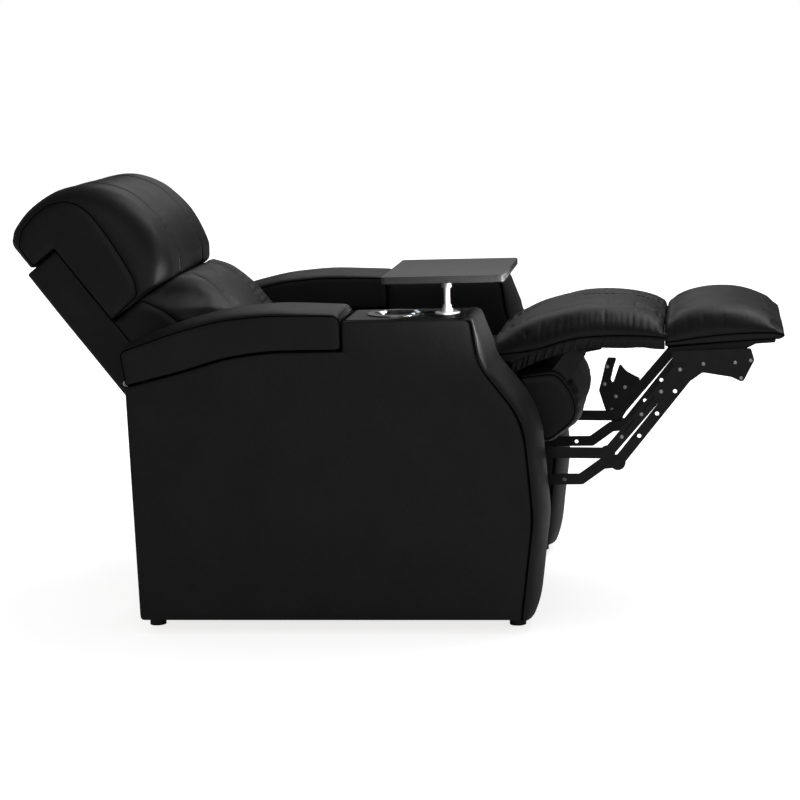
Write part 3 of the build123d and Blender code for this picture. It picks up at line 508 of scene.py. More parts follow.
class Nodes:
    """A short way to write a material's nodes."""

    def __init__(self, name):
        self.material = bpy.data.materials.new(name)
        self.material.use_nodes = True
        self.tree = self.material.node_tree
        self.shader = self.tree.nodes["Principled BSDF"]
        MATERIALS[name] = self.material
        self.coordinates = self.add("ShaderNodeTexCoord").outputs["Object"]

    def add(self, kind, **inputs):
        node = self.tree.nodes.new(kind)
        for key, value in inputs.items():
            self.set(node.inputs[key.replace("_", " ")], value)
        return node

    def set(self, socket, value):
        if isinstance(value, bpy.types.NodeSocket):
            self.tree.links.new(value, socket)
        else:
            socket.default_value = value

    def noise(self, scale, detail=4.0, rough=0.55, stretch=(1, 1, 1)):
        vector = self.coordinates
        if stretch != (1, 1, 1):
            vector = self.add("ShaderNodeMapping", Vector=vector, Scale=stretch).outputs[0]
        node = self.add("ShaderNodeTexNoise", Vector=vector, Scale=scale, Detail=detail, Roughness=rough)
        return node.outputs["Fac"]

    def cells(self, scale):
        return self.add("ShaderNodeTexVoronoi", Vector=self.coordinates, Scale=scale).outputs["Distance"]

    def span(self, value, low, high, start=0.0, end=1.0):
        names = {"From_Min": start, "From_Max": end, "To_Min": low, "To_Max": high}
        return self.add("ShaderNodeMapRange", Value=value, **names).outputs[0]

    def colours(self, value, low, high, start=0.3, end=0.7):
        node = self.add("ShaderNodeValToRGB", Fac=value)
        ramp = node.color_ramp.elements
        ramp[0].position, ramp[1].position = start, end
        ramp[0].color, ramp[1].color = (*low, 1), (*high, 1)
        return node.outputs["Color"]

    def bump(self, height, strength, distance, below=None):
        node = self.add("ShaderNodeBump", Height=height, Strength=strength, Distance=distance)
        if below is not None:
            self.set(node.inputs["Normal"], below)
        return node.outputs["Normal"]

    def finish(self, **sockets):
        for key, value in sockets.items():
            self.set(self.shader.inputs[key.replace("_", " ")], value)


def leather(name, dark, light):
    """Semi-matt hide: pebbled grain, fine pores, and slow changes of gloss and tone."""
    n = Nodes(name)
    pebble = n.bump(n.cells(620.0), strength=0.22, distance=0.0007)
    pores = n.bump(n.noise(2600.0, detail=2.0), strength=0.10, distance=0.0003, below=pebble)
    soft = n.bump(n.noise(26.0, detail=3.0), strength=0.16, distance=0.006, below=pores)
    tone = n.colours(n.noise(9.0), dark, light)
    gloss = n.span(n.noise(14.0), 0.40, 0.52)
    n.finish(Base_Color=tone, Roughness=gloss, Normal=soft, Specular_IOR_Level=0.30)


def thread():
    """Matt black sewing thread with a faint twist."""
    n = Nodes("thread")
    twist = n.noise(1800.0, 2.0)
    tone = n.colours(twist, (0.0010, 0.0010, 0.0010), (0.0022, 0.0022, 0.0022))
    n.finish(Base_Color=tone, Roughness=0.9, Normal=n.bump(twist, strength=0.2, distance=0.0003),
             Specular_IOR_Level=0.05)


def painted_steel():
    """Black powder coat with fine orange peel and rubbed patches."""
    n = Nodes("painted_steel")
    peel = n.bump(n.noise(900.0, detail=2.0), strength=0.18, distance=0.0004)
    rub = n.span(n.noise(60.0, 6.0, 0.7), 0.24, 0.46)
    tone = n.colours(n.noise(45.0, 5.0), (0.004, 0.004, 0.0045), (0.010, 0.010, 0.0105))
    n.finish(Base_Color=tone, Roughness=rub, Normal=peel, Specular_IOR_Level=0.35)


def bare_metal(name, tone, rough, stretch, metal=1.0):
    """Plated or brushed metal with lines in one direction; with little metal, its pale colour is a painted
    reflection.
    """
    n = Nodes(name)
    lines = n.noise(400.0, 3.0, 0.6, stretch)
    colour = n.colours(lines, [0.88 * c for c in tone], tone)
    n.finish(Base_Color=colour, Metallic=metal, Roughness=n.span(lines, 0.7 * rough, 1.3 * rough))


def plastic(name, dark, light, rough):
    """Moulded plastic with a fine spark-eroded grain."""
    n = Nodes(name)
    grain = n.bump(n.noise(1500.0, detail=2.0), strength=0.2, distance=0.0003)
    n.finish(Base_Color=n.colours(n.noise(30.0), dark, light), Roughness=rough, Normal=grain)


def laminate():
    """Dark grey tray board with a faint straight grain."""
    n = Nodes("tray_laminate")
    grain = n.noise(240.0, 5.0, 0.6, (0.05, 1.0, 1.0))
    tone = n.colours(grain, (0.036, 0.036, 0.037), (0.056, 0.056, 0.058))
    n.finish(Base_Color=tone, Roughness=n.span(grain, 0.40, 0.52),
             Normal=n.bump(grain, strength=0.08, distance=0.0004))


def plywood():
    """Birch ply: long grain and darker growth lines."""
    n = Nodes("timber")
    grain = n.noise(120.0, 6.0, 0.65, (0.06, 1.0, 1.0))
    tone = n.colours(grain, (0.36, 0.25, 0.15), (0.62, 0.48, 0.32))
    n.finish(Base_Color=tone, Roughness=0.62, Normal=n.bump(grain, strength=0.15, distance=0.0006))


def woven(name, dark, light, scale):
    """Cloth with warp and weft."""
    n = Nodes(name)
    both = n.add("ShaderNodeMath")
    both.operation = "MAXIMUM"
    for k, direction in enumerate("XY"):
        yarns = n.add("ShaderNodeTexWave", Vector=n.coordinates, Scale=scale)
        yarns.bands_direction = direction
        n.set(both.inputs[k], yarns.outputs["Fac"])
    weave = both.outputs[0]
    n.finish(Base_Color=n.colours(weave, dark, light), Roughness=0.85,
             Normal=n.bump(weave, strength=0.3, distance=0.0005))


def lit_cap():
    """Clear button cap with a cool light behind it."""
    n = Nodes("lit_button")
    glow = n.noise(700.0, 2.0)
    tone = n.colours(glow, (0.62, 0.70, 0.80), (0.80, 0.86, 0.92))
    n.finish(Base_Color=tone, Roughness=0.15, Emission_Color=(0.75, 0.86, 1.0, 1), Emission_Strength=0.7)


def make_materials():
    leather("leather", (0.0085, 0.0085, 0.0088), (0.0120, 0.0120, 0.0124))
    thread()
    painted_steel()
    bare_metal("zinc_steel", (0.56, 0.56, 0.57), 0.34, (1.0, 0.05, 1.0))
    # Chrome post: mostly a pale diffuse colour with little metal, a painted reflection of the white surround
    bare_metal("chrome", (0.86, 0.86, 0.87), 0.14, (1.0, 1.0, 0.1), metal=0.2)
    bare_metal("cup_steel", (0.66, 0.66, 0.67), 0.20, (1.0, 1.0, 0.05))
    bare_metal("aluminium", (0.72, 0.72, 0.73), 0.30, (1.0, 0.05, 1.0))
    plastic("black_plastic", (0.012, 0.012, 0.012), (0.022, 0.022, 0.022), 0.5)
    laminate()
    plywood()
    woven("webbing", (0.012, 0.012, 0.012), (0.05, 0.05, 0.052), 260.0)
    woven("black_lining", (0.004, 0.004, 0.004), (0.010, 0.010, 0.010), 420.0)
    lit_cap()


def dress_nodes():
    """Gives every CAD node the finish of its slot."""
    slots = {part["node"]: part["material_slot"] for part in frame["record"]["subparts"]}
    for name, node in frame["nodes"].items():
        node.data.materials.clear()
        node.data.materials.append(material_of(slots[name]))


# Headrest and back

BACK_SEAMS = (-120.0, 120.0)
HEAD_HALF, HEAD_ROUND = 255.0, 66.0
HEAD_EDGE = [(354, 87), (360, 168), (389, 186), (448, 195), (507, 201), (563, 203), (602, 196), (633, 169),
             (645, 113), (635, 54), (612, 27), (557, 24), (557, 87)]
HEAD_CROWN = [(352, 87), (347, 243), (375, 268), (440, 286), (505, 289), (577, 268), (632, 225), (660, 160),
              (667, 85), (652, 24), (630, 6), (557, 8), (557, 87)]
HEAD_RADII = [4, 20, 40, 120, 120, 90, 80, 80, 70, 40, 24, 8, 5]


def build_headrest():
    cushion("headrest_cover", "headrest_cushion", back_place, (HEAD_EDGE, HEAD_CROWN, HEAD_RADII), HEAD_HALF,
            HEAD_ROUND, uneven=(1.6, 120.0, 1), seams=BACK_SEAMS, seam_span=(1, 10), groove=3.2,
            body="headrest")


BACK_HALF, BACK_ROUND = 240.0, 80.0
BACK_EDGE = [(3, 82), (3, 186), (30, 204), (130, 212), (225, 206), (300, 191), (349, 165), (350, 82)]
BACK_CROWN = [(3, 82), (3, 241), (30, 283), (130, 301), (225, 297), (300, 284), (343, 252), (349, 82)]
BACK_RADII = [6, 40, 60, 150, 120, 50, 16, 6]


def build_back():
    pieces = cushion("back_cover", "back_cushion", back_place, (BACK_EDGE, BACK_CROWN, BACK_RADII), BACK_HALF,
                     BACK_ROUND, uneven=(2.2, 110.0, 2), seams=BACK_SEAMS, seam_span=(1, 6),
                     groove=4.0, pucker=(0.7, 19.0, 20.0), body="back", swell=4.0)
    for piece in pieces:
        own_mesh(piece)
    build_back_shell()


SHELL_DEPTH, SHELL_PAD, SHELL_WALL, SHELL_FLOOR = 83.0, 5.0, 8.0, 14.0
SHELL_RADII = [3, 16, 16, 3, 3, 6, 6, 3]
# Distance along the back and inset of each section
SHELL_STATIONS = [(-10, 3.5), (-9, 1.2), (-6, 0), *[(along, 0) for along in range(6, 545, 14)],
                  (549, 0), (552, 1.2), (553, 3.5)]


def build_back_shell():
    """The upholstered rear panel and sides of the back, one U-shaped skin."""
    half = 1000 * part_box("back_shell")[1].x
    inner = half - SHELL_WALL
    section = [(-half, SHELL_DEPTH), (-half, -SHELL_PAD), (half, -SHELL_PAD), (half, SHELL_DEPTH),
               (inner, SHELL_DEPTH), (inner, SHELL_FLOOR), (-inner, SHELL_FLOOR), (-inner, SHELL_DEPTH)]
    outline = Outline(section, SHELL_RADII, step=BOARD_STEP)
    rings = [shell_place(outline.ring(inset=inset), along) for along, inset in SHELL_STATIONS]
    board_cover("back_shell_cover", "back_shell", rings, "back", (1.2, 150.0, 3))


# Seat and footrest

SEAT_SEAMS = (-110.0, 110.0)
SEAT_HALF, SEAT_ROUND = 240.0, 60.0
SEAT_EDGE = [(122, 454), (124, 470), (-100, 506), (-330, 528), (-396, 515), (-397, 454)]
SEAT_CROWN = [(122, 454), (124, 488), (-100, 532), (-330, 562), (-396, 536), (-397, 454)]
SEAT_RADII = [8, 16, 300, 60, 20, 8]
ROLL_HALF, ROLL_ROUND = 238.0, 50.0
ROLL_EDGE = [(-402, 380), (-402, 520), (-482, 530), (-522, 476), (-524, 428), (-466, 384)]
ROLL_CROWN = [(-402, 374), (-402, 530), (-486, 546), (-539, 478), (-537, 425), (-468, 374)]
ROLL_RADII = [8, 10, 34, 60, 45, 25]


def build_seat():
    cushion("seat_cover", "seat_cushion", side_place, (SEAT_EDGE, SEAT_CROWN, SEAT_RADII), SEAT_HALF,
            SEAT_ROUND, uneven=(2.0, 120.0, 4), seams=SEAT_SEAMS, seam_span=(1, 4), groove=4.0,
            body="seat")
    cushion("front_roll_cover", "seat_front_roll", side_place, (ROLL_EDGE, ROLL_CROWN, ROLL_RADII), ROLL_HALF,
            ROLL_ROUND, uneven=(2.4, 90.0, 5), pucker=(1.4, 15.0, 34.0), body="seat")


CHAISE_HALF, CHAISE_ROUND = 250.0, 88.0
CHAISE_EDGE = [(-340, 568), (-402, 546), (-543, 594), (-715, 594), (-717, 606), (-694, 609), (-650, 611),
               (-590, 612), (-520, 608), (-430, 580), (-352, 574)]
CHAISE_CROWN = [(-338, 572), (-402, 547), (-543, 596), (-715, 596), (-717, 633), (-694, 646), (-650, 657),
                (-590, 664), (-520, 661), (-430, 637), (-345, 598)]
CHAISE_RADII = [4, 20, 60, 5, 14, 40, 90, 120, 120, 160, 5]
GUSSET = [(-712, 597), (-726, 595), (-726, 612), (-712, 614)]
GUSSET_HALF = CHAISE_HALF - 6.0
BAND_LINE = [(-386, 553), (-447, 580), (-528, 604), (-580, 607), (-646, 606), (-718, 601)]
BAND_HALF, BAND_DROP, BAND_THICK = 253.0, 22.0, 7
BAND_STEP, BAND_ROWS, BAND_FADE = 2.2, 13, 25.0
# Slack of the gathers: everywhere, added at the rear, and how far that reaches
SLACK, REAR_SLACK, SLACK_REACH = 0.22, 0.78, 120.0
# Height, wave, wander and wander's wave of the folds, and whether the two sides differ
BAND_FOLDS = [(0.8, 17.0, 3.4, 37.0, 1), (0.6, 9.0, 2.6, 19.0, 0)]
BAND_LEAN, BAND_BELLY, BAND_TUCK = 9.0, 2.5, 4.0
# Size of the folds at the seam, what the drop adds, and where that starts and how fast it grows
SEAM_FOLD, DROP_FOLD, DROP_START, DROP_RATE = 0.3, 2.2, 0.05, 0.7
HEM_FOLD, HEM_WAVE, HEM_SCALE, HEM_SEED = 1.1, 3.0, 46.0, 12


def bend(piece):
    """Bakes a piece of the chaise's placement into its mesh."""
    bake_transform(piece)


def smooth_line(points, step):
    """Points at an even step on a smooth line through a few."""
    points = np.array(points, float)
    ends = np.vstack((2 * points[0] - points[1], points, 2 * points[-1] - points[-2]))
    made = []
    for a, b, c, d in zip(ends, ends[1:], ends[2:], ends[3:]):
        for t in np.linspace(0, 1, CURVE_STEPS, endpoint=False):
            made.append(0.5 * (2 * b + (c - a) * t + (2 * a - 5 * b + 4 * c - d) * t ** 2
                               + (3 * b - a - 3 * c + d) * t ** 3))
    return evenly(np.array(made + [points[-1]]), step)[0]


def gathered_band(side):
    """The ruched strip that hangs under the chaise's side seam."""
    line = smooth_line(BAND_LINE, BAND_STEP)
    along = np.arange(len(line)) * BAND_STEP
    ends = np.clip(np.minimum(along, along[-1] - along) / BAND_FADE, 0, 1)
    slack = SLACK + REAR_SLACK * np.exp(-(along / SLACK_REACH) ** 2)
    hem = ripple(np.column_stack((along, 0 * along, 0 * along)) * MM, HEM_SCALE, HEM_SEED + side)
    rows = []
    for drop in np.linspace(0, 1, BAND_ROWS):
        lean = along + BAND_LEAN * drop
        fold = sum(height * np.sin(2 * math.pi * lean / wave + wander * np.sin(lean / slow) + differ * side)
                   for height, wave, wander, slow, differ in BAND_FOLDS)
        swell = slack * fold * (SEAM_FOLD + DROP_FOLD * math.sin(math.pi * (DROP_START + DROP_RATE * drop)))
        out = BAND_HALF + swell * ends + BAND_BELLY * math.sin(math.pi * drop) - BAND_TUCK * drop ** 2
        fall = line[:, 1] - BAND_DROP * drop + drop ** 2 * (HEM_FOLD * slack * fold + HEM_WAVE * hem) * ends
        rows.append(np.column_stack((side * out * MM, line[:, 0] * MM + SHIFT, fall * MM)))
    inner = [np.column_stack((row[:, 0] - side * BAND_THICK * MM, row[:, 1], row[:, 2])) for row in rows[::-1]]
    return loft(f"chaise_band_{side}", list(np.stack(rows + inner, 1)), material_of("leather"))


def build_chaise():
    pieces = cushion("chaise_cover", "chaise_pad", side_place, (CHAISE_EDGE, CHAISE_CROWN, CHAISE_RADII),
                     CHAISE_HALF, CHAISE_ROUND, uneven=(2.0, 85.0, 6), seams=SEAT_SEAMS,
                     seam_span=(4, 10), groove=1.6, pucker=(1.2, 13.0, 30.0), panel_bulge=1.0,
                     panel_inset=4.0, swell=5.0)
    bands = joined("chaise_gathered_bands", [gathered_band(side) for side in SIDES.values()])
    for piece in (*pieces, bands):
        bend(piece)
    gusset = Outline(GUSSET, BOARD_ROUND)
    rings = [side_place(gusset.ring(inset=inset), x) for x, inset in board_stations(GUSSET_HALF)]
    loft("footrest_gusset", rings, material_of("leather"), "footrest")


FOOT_HALF, FOOT_ROUND = 250.0, 88.0
FOOT_EDGE = [(-719, 586), (-964, 599), (-977, 606), (-951, 613), (-905, 613), (-850, 611), (-790, 605),
             (-745, 598), (-719, 596)]
FOOT_CROWN = [(-719, 586), (-964, 600), (-977, 614), (-947, 640), (-903, 660), (-850, 669), (-790, 664),
              (-742, 650), (-719, 634)]
FOOT_RADII = [5, 8, 10, 30, 80, 110, 80, 40, 14]
OTTOMAN = [(-721, 582), (-737, 555), (-879, 570), (-913, 586), (-954, 588), (-956, 600)]
OTTOMAN_RADII = [5, 12, 14, 14, 5, 2]
PLATE, PLATE_GAP = 4.0, 1.0


def build_footrest():
    cushion("foot_cover", "foot_pad", side_place, (FOOT_EDGE, FOOT_CROWN, FOOT_RADII), FOOT_HALF, FOOT_ROUND,
            uneven=(1.6, 100.0, 7), seam_span=(2, 8), pucker=(0.5, 14.0, 20.0), panel_bulge=1.0,
            panel_inset=4.0, body="footrest", swell=3.0)
    board = Outline(OTTOMAN, OTTOMAN_RADII)
    half = 1000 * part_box("front_diagonals")[1].x - PLATE - PLATE_GAP
    rings = [side_place(board.ring(inset=inset), x) for x, inset in board_stations(half)]
    board_cover("ottoman_board_cover", "ottoman_board", rings, "footrest", (0.8, 90.0, 8))


# Linkage

UPPER_KNEE, REAR_HEAD = (-590.0, 352.0), (-750.0, 535.0)
HOOK_RIVETS = [(-564, 428), (-571, 470), (-590, 398), (-612, 420), (-580, 366)]
BRACKET_RIVETS = [(-880, 514), (-901, 552), (-868, 548), (-800, 546)]
# Rivets along the rear diagonal, as shares of its length, and the part of each gap that a rib leaves free
LINK_SHARES, RIB_TRIM = (0.2, 0.47, 0.74), 0.16
# Radius and height of the rivet heads
LINK_HEAD, BRACKET_HEAD, HOOK_HEAD = (4.6, 1.4), (4.2, 1.3), (4.4, 0.3)
# Shares of a head's radius and height, from the plate to the top
HEAD_PROFILE = [(1.0, -0.2), (1.0, 0.25), (0.9, 0.55), (0.7, 0.82), (0.35, 0.97), (0.1, 1.0)]
HEAD_SIDES = 20
RIB_HALF, RIB_RISE, RIB_SINK, RIB_END = 4.5, 1.6, 0.1, 9.0
RIB_SIDES, RIB_STEPS, RIB_TIP = 9, 24, 0.02


def rivet(place, facing, head):
    """A domed head on a plate's face, at a place in the frame."""
    radius, height = head
    turns = np.linspace(0, 2 * math.pi, HEAD_SIDES, endpoint=False)
    rings = []
    for share, lift in HEAD_PROFILE:
        r = radius * share * MM
        x = np.full(len(turns), place[0] + facing * height * lift * MM)
        rings.append(np.column_stack((x, place[1] + r * np.cos(turns), place[2] + r * np.sin(turns))))
    return loft("rivet", rings, material_of("zinc_steel"))


def rib(start, end, x, facing):
    """A pressed rib along a plate's face."""
    turns = np.linspace(0, math.pi, RIB_SIDES)
    run = np.subtract(end, start)
    length = np.linalg.norm(run)
    run = run / length
    across = np.array((-run[1], run[0]))
    rings = []
    for share in np.linspace(0, 1, RIB_STEPS):
        near = min(share, 1 - share) * length / RIB_END
        size = math.sqrt(max(0.0, 1 - (1 - min(1.0, near)) ** 2)) + RIB_TIP
        centre = np.array(start) + run * length * share
        section = [centre + across * RIB_HALF * size * math.cos(a) for a in turns]
        lift = [x + facing * (RIB_RISE * size * math.sin(a) - RIB_SINK) for a in turns]
        rings.append(np.column_stack((np.array(lift) * MM, [p[0] * MM + SHIFT for p in section],
                                      [p[1] * MM for p in section])))
    return loft("rib", rings, material_of("painted_steel"))


def on_plate(points, x):
    """Places in the frame of (y, z) points at x."""
    return [side_place(np.array([point], float), x)[0] for point in points]


def build_fittings():
    """Rivet heads and pressed ribs of the footrest linkage."""
    outer = 1000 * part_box("rear_diagonals")[0].x
    bracket = 1000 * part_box("ottoman_brackets")[0].x
    spots = [tuple(np.add(UPPER_KNEE, share * np.subtract(REAR_HEAD, UPPER_KNEE))) for share in LINK_SHARES]
    heads, ribs, ends = [], [], []
    for side in SIDES.values():
        face = -side * outer
        heads += [rivet(place, side, LINK_HEAD) for place in on_plate([*spots, REAR_HEAD], face)]
        for start, end in zip(spots, spots[1:]):
            trim = RIB_TRIM * np.subtract(end, start)
            ribs.append(rib(np.add(start, trim), np.subtract(end, trim), face, side))
        ends += [rivet(place, side, BRACKET_HEAD) for place in on_plate(BRACKET_RIVETS, -side * bracket)]
    heads += [rivet(place, -1, HOOK_HEAD) for place in on_plate(HOOK_RIVETS, -outer - PLATE)]
    joined("link_rivets", heads, "rear_diagonal")
    joined("link_ribs", ribs, "rear_diagonal")
    joined("bracket_rivets", ends, "footrest")


# Arms

ARM_BOARD = 18.0
PANEL_POINTS = [(420, 31), (427, 543), (300, 574), (205, 602), (110, 614), (-47, 614), (-47, 678), (-320, 678),
                (-332, 582), (-424, 462), (-440, 250), (-411, 31)]
PANEL_RADII = [10, 4, 200, 200, 200, 3, 9, 20, 96, 176, 256, 4]
PANEL_STEP = 14.0
# Depth below the face's edge and inset of each ring, and how far the middle stands out
PANEL_PROFILE = [(5.0, 0.0), (2.6, 0.5), (1.0, 1.6), (0.2, 3.4), (-0.6, 9.0), (-1.2, 20.0), (-1.4, 30.0),
                 (-1.4, 32.0)]
PANEL_CROWN = 1.4
FRONT_POINTS = [(-300, 680), (-324, 680), (-336, 582), (-428, 462), (-444, 250), (-415, 31)]
FRONT_RADII = [0, 24, 100, 180, 260, 0]
FRONT_STEP, FRONT_SIDES = 8.0, 25
# Height of the front's crown, and how it starts at the console and flattens towards the floor
FRONT_CROWN, FRONT_START, FRONT_TOE, TOE_FLAT = 28.0, 90.0, 60.0, 0.3
START_CURVE, CROWN_CURVE = 0.8, 1.15
FRONT_EDGE, FRONT_UNDER_EDGE, FRONT_UNDER = 0.5, 1.5, -3.5
FRONT_SEAM_EDGE, FRONT_SEAM_DEPTH = 0.6, 3.2
LID_UNDER = [(424, 547), (300, 577), (205, 605), (110, 617), (-44, 617)]
LID_EDGE = [(-44, 690), (110, 693), (210, 685), (310, 661), (434, 620)]
LID_CROWN = [(-44, 698), (110, 707), (210, 699), (310, 676), (434, 630)]
LID_RADII = [5, 200, 200, 200, 12, 20, 220, 220, 220, 14]
LID_HALF = ARM_HALF - 1.5


def front_path():
    """Points of the line down an arm's front, their outward normals, and their distances along it."""
    corners = Outline.corners(FRONT_POINTS, FRONT_RADII)
    line = [np.array(FRONT_POINTS[0], float)]
    for n in range(1, len(FRONT_POINTS) - 1):
        line += corner_curve(corners[n][0], FRONT_POINTS[n], corners[n][1], CURVE_STEPS)
    line.append(np.array(FRONT_POINTS[-1], float))
    points, along = evenly(np.array(line), FRONT_STEP)
    run = np.gradient(points, axis=0)
    run /= np.linalg.norm(run, axis=1, keepdims=True)
    return points, np.column_stack((run[:, 1], -run[:, 0])), along


def front_band(name, side):
    """The crowned strip of leather down the front of an arm."""
    points, normals, along = front_path()
    across = np.sin(np.linspace(-math.pi / 2, math.pi / 2, FRONT_SIDES))
    rings = []
    for (y, z), normal, s in zip(points, normals, along):
        rise = FRONT_CROWN * min(1.0, s / FRONT_START) ** START_CURVE
        rise *= 1.0 - TOE_FLAT * max(0.0, (s - along[-1] + FRONT_TOE) / FRONT_TOE) ** 2
        section = [(x * (ARM_HALF - FRONT_EDGE), rise * math.sqrt(max(0.0, 1 - x ** 2)) ** CROWN_CURVE)
                   for x in across]
        section += [(x * (ARM_HALF - FRONT_UNDER_EDGE), FRONT_UNDER) for x in across[::-1]]
        x, out = np.array(section).T
        rings.append(np.column_stack(((side * ARM_X + x) * MM, (y + normal[0] * out) * MM + SHIFT,
                                      (z + normal[1] * out) * MM)))
    band = board_cover(f"arm_front_cover_{name}", f"arm_front_band_{name}", rings, "base", (1.0, 70.0, 9))
    seam = points[2:] - normals[2:] * FRONT_SEAM_DEPTH
    threads = []
    for edge in (-1, 1):
        x = side * ARM_X + edge * (ARM_HALF - FRONT_SEAM_EDGE)
        threads.append(stitch("front_seam", side_place(seam, x)))
    joined(f"arm_front_stitching_{name}", threads, "base")


def side_panel(name, part, inner_x, outer_x):
    """One upholstered side of an arm, with a softly rounded face edge."""
    outline = Outline(PANEL_POINTS, PANEL_RADII, step=PANEL_STEP)
    way = 1 if outer_x > inner_x else -1
    rings = [side_place(outline.ring(inset=1.0), inner_x), side_place(outline.ring(), inner_x + way)]
    for depth, inset in PANEL_PROFILE:
        rings.append(side_place(outline.ring(inset=inset), outer_x - way * (depth + PANEL_CROWN)))
    board_cover(f"arm_{part}_cover_{name}", f"arm_{part}_panel_{name}", rings, "base")


def arm_lid(name, side):
    """The curved lid of an arm: flat sides, and a crowned top sewn to them."""
    shape = (LID_UNDER + LID_EDGE, LID_UNDER + LID_CROWN, LID_RADII)
    cushion(f"arm_lid_cover_{name}", f"arm_lid_{name}", side_place, shape, LID_HALF, LID_HALF,
            uneven=(1.0, 130.0, 10), centre=side * ARM_X, pucker=(0.25, 22.0, 12.0), panel_bulge=1.0,
            panel_inset=12.0, body=f"lid_{name}")


CONSOLE_HALF = ARM_HALF - 6.0
CONSOLE_FRONT_Y, CONSOLE_BACK_Y = -304, -52
CONSOLE_RADII = [4, 4, 8, 8]
# Height and inset of each ring
CONSOLE_PROFILE = [(662, 1.0), (664, 0.0), (676, 0.0), (678.6, 0.8), (680, 3.0), (680.4, 9.0), (680.4, 11.0)]
CUP_HOLE, POST_HOLE, BUTTON_GAP = 45.0, 12.0, 0.8
BUTTONS = ("recline_button", "raise_button", "light_button")
HOLE_LOW, HOLE_HIGH, HOLE_SIDES = 600, 720, 96
REAR_HALF = ARM_HALF - ARM_BOARD - 0.5
REAR_LOW, REAR_HIGH, REAR_RADIUS = 50, 531, 6
# The y and inset of each ring
REAR_PROFILE = [(403, 1.0), (404, 0.0), (417, 0.0), (419.5, 0.8), (421, 3.0), (422.5, 9.0), (424, 22.0),
                (424.4, 34.0), (424.4, 36.0)]


def cut(piece, cutters):
    """Takes the cutters' volume out of a piece."""
    for cutter in cutters:
        change = piece.modifiers.new("cut", "BOOLEAN")
        change.object = cutter
        change.solver = "EXACT"
    bpy.context.view_layer.update()
    shaped = bpy.data.meshes.new_from_object(piece.evaluated_get(bpy.context.evaluated_depsgraph_get()))
    piece.modifiers.clear()
    piece.data = shaped
    for cutter in cutters:
        bpy.data.objects.remove(cutter)


def hole(node, radius):
    """A round upright cutter through the console, at the middle of a node."""
    low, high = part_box(node)
    x, y = 500 * (low.x + high.x), 500 * (low.y + high.y) - 1000 * SHIFT
    turns = np.linspace(0, 2 * math.pi, HOLE_SIDES, endpoint=False)
    circle = np.column_stack((x + radius * np.cos(turns), y + radius * np.sin(turns)))
    return loft("hole", [top_place(circle, HOLE_LOW), top_place(circle, HOLE_HIGH)], material_of("leather"))


def across_arm(side, half, low, high):
    """Corners of a panel across an arm, from low to high in its second direction."""
    left, right = side * ARM_X - half, side * ARM_X + half
    return [(left, low), (right, low), (right, high), (left, high)]


def console(name, side):
    """The leather top in front of a lid, with holes for the cup, the tray's socket and the buttons."""
    outline = Outline(across_arm(side, CONSOLE_HALF, CONSOLE_FRONT_Y, CONSOLE_BACK_Y), CONSOLE_RADII)
    rings = [top_place(outline.ring(inset=inset), z) for z, inset in CONSOLE_PROFILE]
    top = loft(f"arm_console_cover_{name}", rings, material_of("leather"), "base")
    cutters = [hole(f"cup_holder_{name}", CUP_HOLE)]
    if name == "right":
        cutters.append(hole("tray_flange", POST_HOLE))
        for button in BUTTONS:
            low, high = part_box(button)
            cutters.append(hole(button, 500 * (high.x - low.x) + BUTTON_GAP))
    cut(top, cutters)
    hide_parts(f"arm_console_{name}")


def rear_cover(name, side):
    """The padded panel between the sides at the back of an arm."""
    outline = Outline(across_arm(side, REAR_HALF, REAR_LOW, REAR_HIGH), REAR_RADIUS)
    rings = [rear_place(outline.ring(inset=inset), y) for y, inset in REAR_PROFILE]
    board_cover(f"arm_rear_cover_{name}", f"arm_rear_wall_{name}", rings, "base")


def build_arms():
    """Both arms, each a mirror of the other but for what the tray needs."""
    for name, side in SIDES.items():
        outer, inner = side * (ARM_X + ARM_HALF), side * (ARM_X - ARM_HALF)
        side_panel(name, "outer", outer - side * ARM_BOARD, outer)
        side_panel(name, "inner", inner + side * ARM_BOARD, inner)
        front_band(name, side)
        arm_lid(name, side)
        console(name, side)
        rear_cover(name, side)


# Stage

CAMERA_PLACE = (-5190.3, -819.6, 1282.0)
CAMERA_YAW, CAMERA_PITCH, CAMERA_ROLL = (math.radians(a) for a in (7.9, 9.2, 2.0))
FOCAL_PIXELS = 2300.0
IMAGE_PIXELS = 800.0
SENSOR = 36.0
IMAGE_SHIFT = (2.0, 1.0)
FLOOR_REACH = 14.0
FLOOR_GLOW = (0.78, 1.15)
FLOOR_FADE = (0.9, 2.6)
SKY_DIFFUSE = 0.26
SKY_GLOSS = 0.092
# Name, place, target, size and power of the lights, in metres and watts
LIGHTS = [("overhead", (1.2, -1.6, 3.3), (0, -0.1, 0.5), 2.4, 44),
          ("front", (-0.6, -3.6, 2.0), (0, -0.5, 0.6), 1.8, 6),
          ("far", (3.0, 0.2, 2.6), (0, 0, 0.7), 2.0, 10),
          ("near", (-4.2, -0.6, 1.8), (0, 0, 0.4), 2.4, 16)]
# The small light on the tray's post, from the post
POST_LIGHT = Vector((-0.5, -1.4, 0.12))
POST_SIZE, POST_POWER, POST_SPREAD = 0.12, 0.5, 9.0


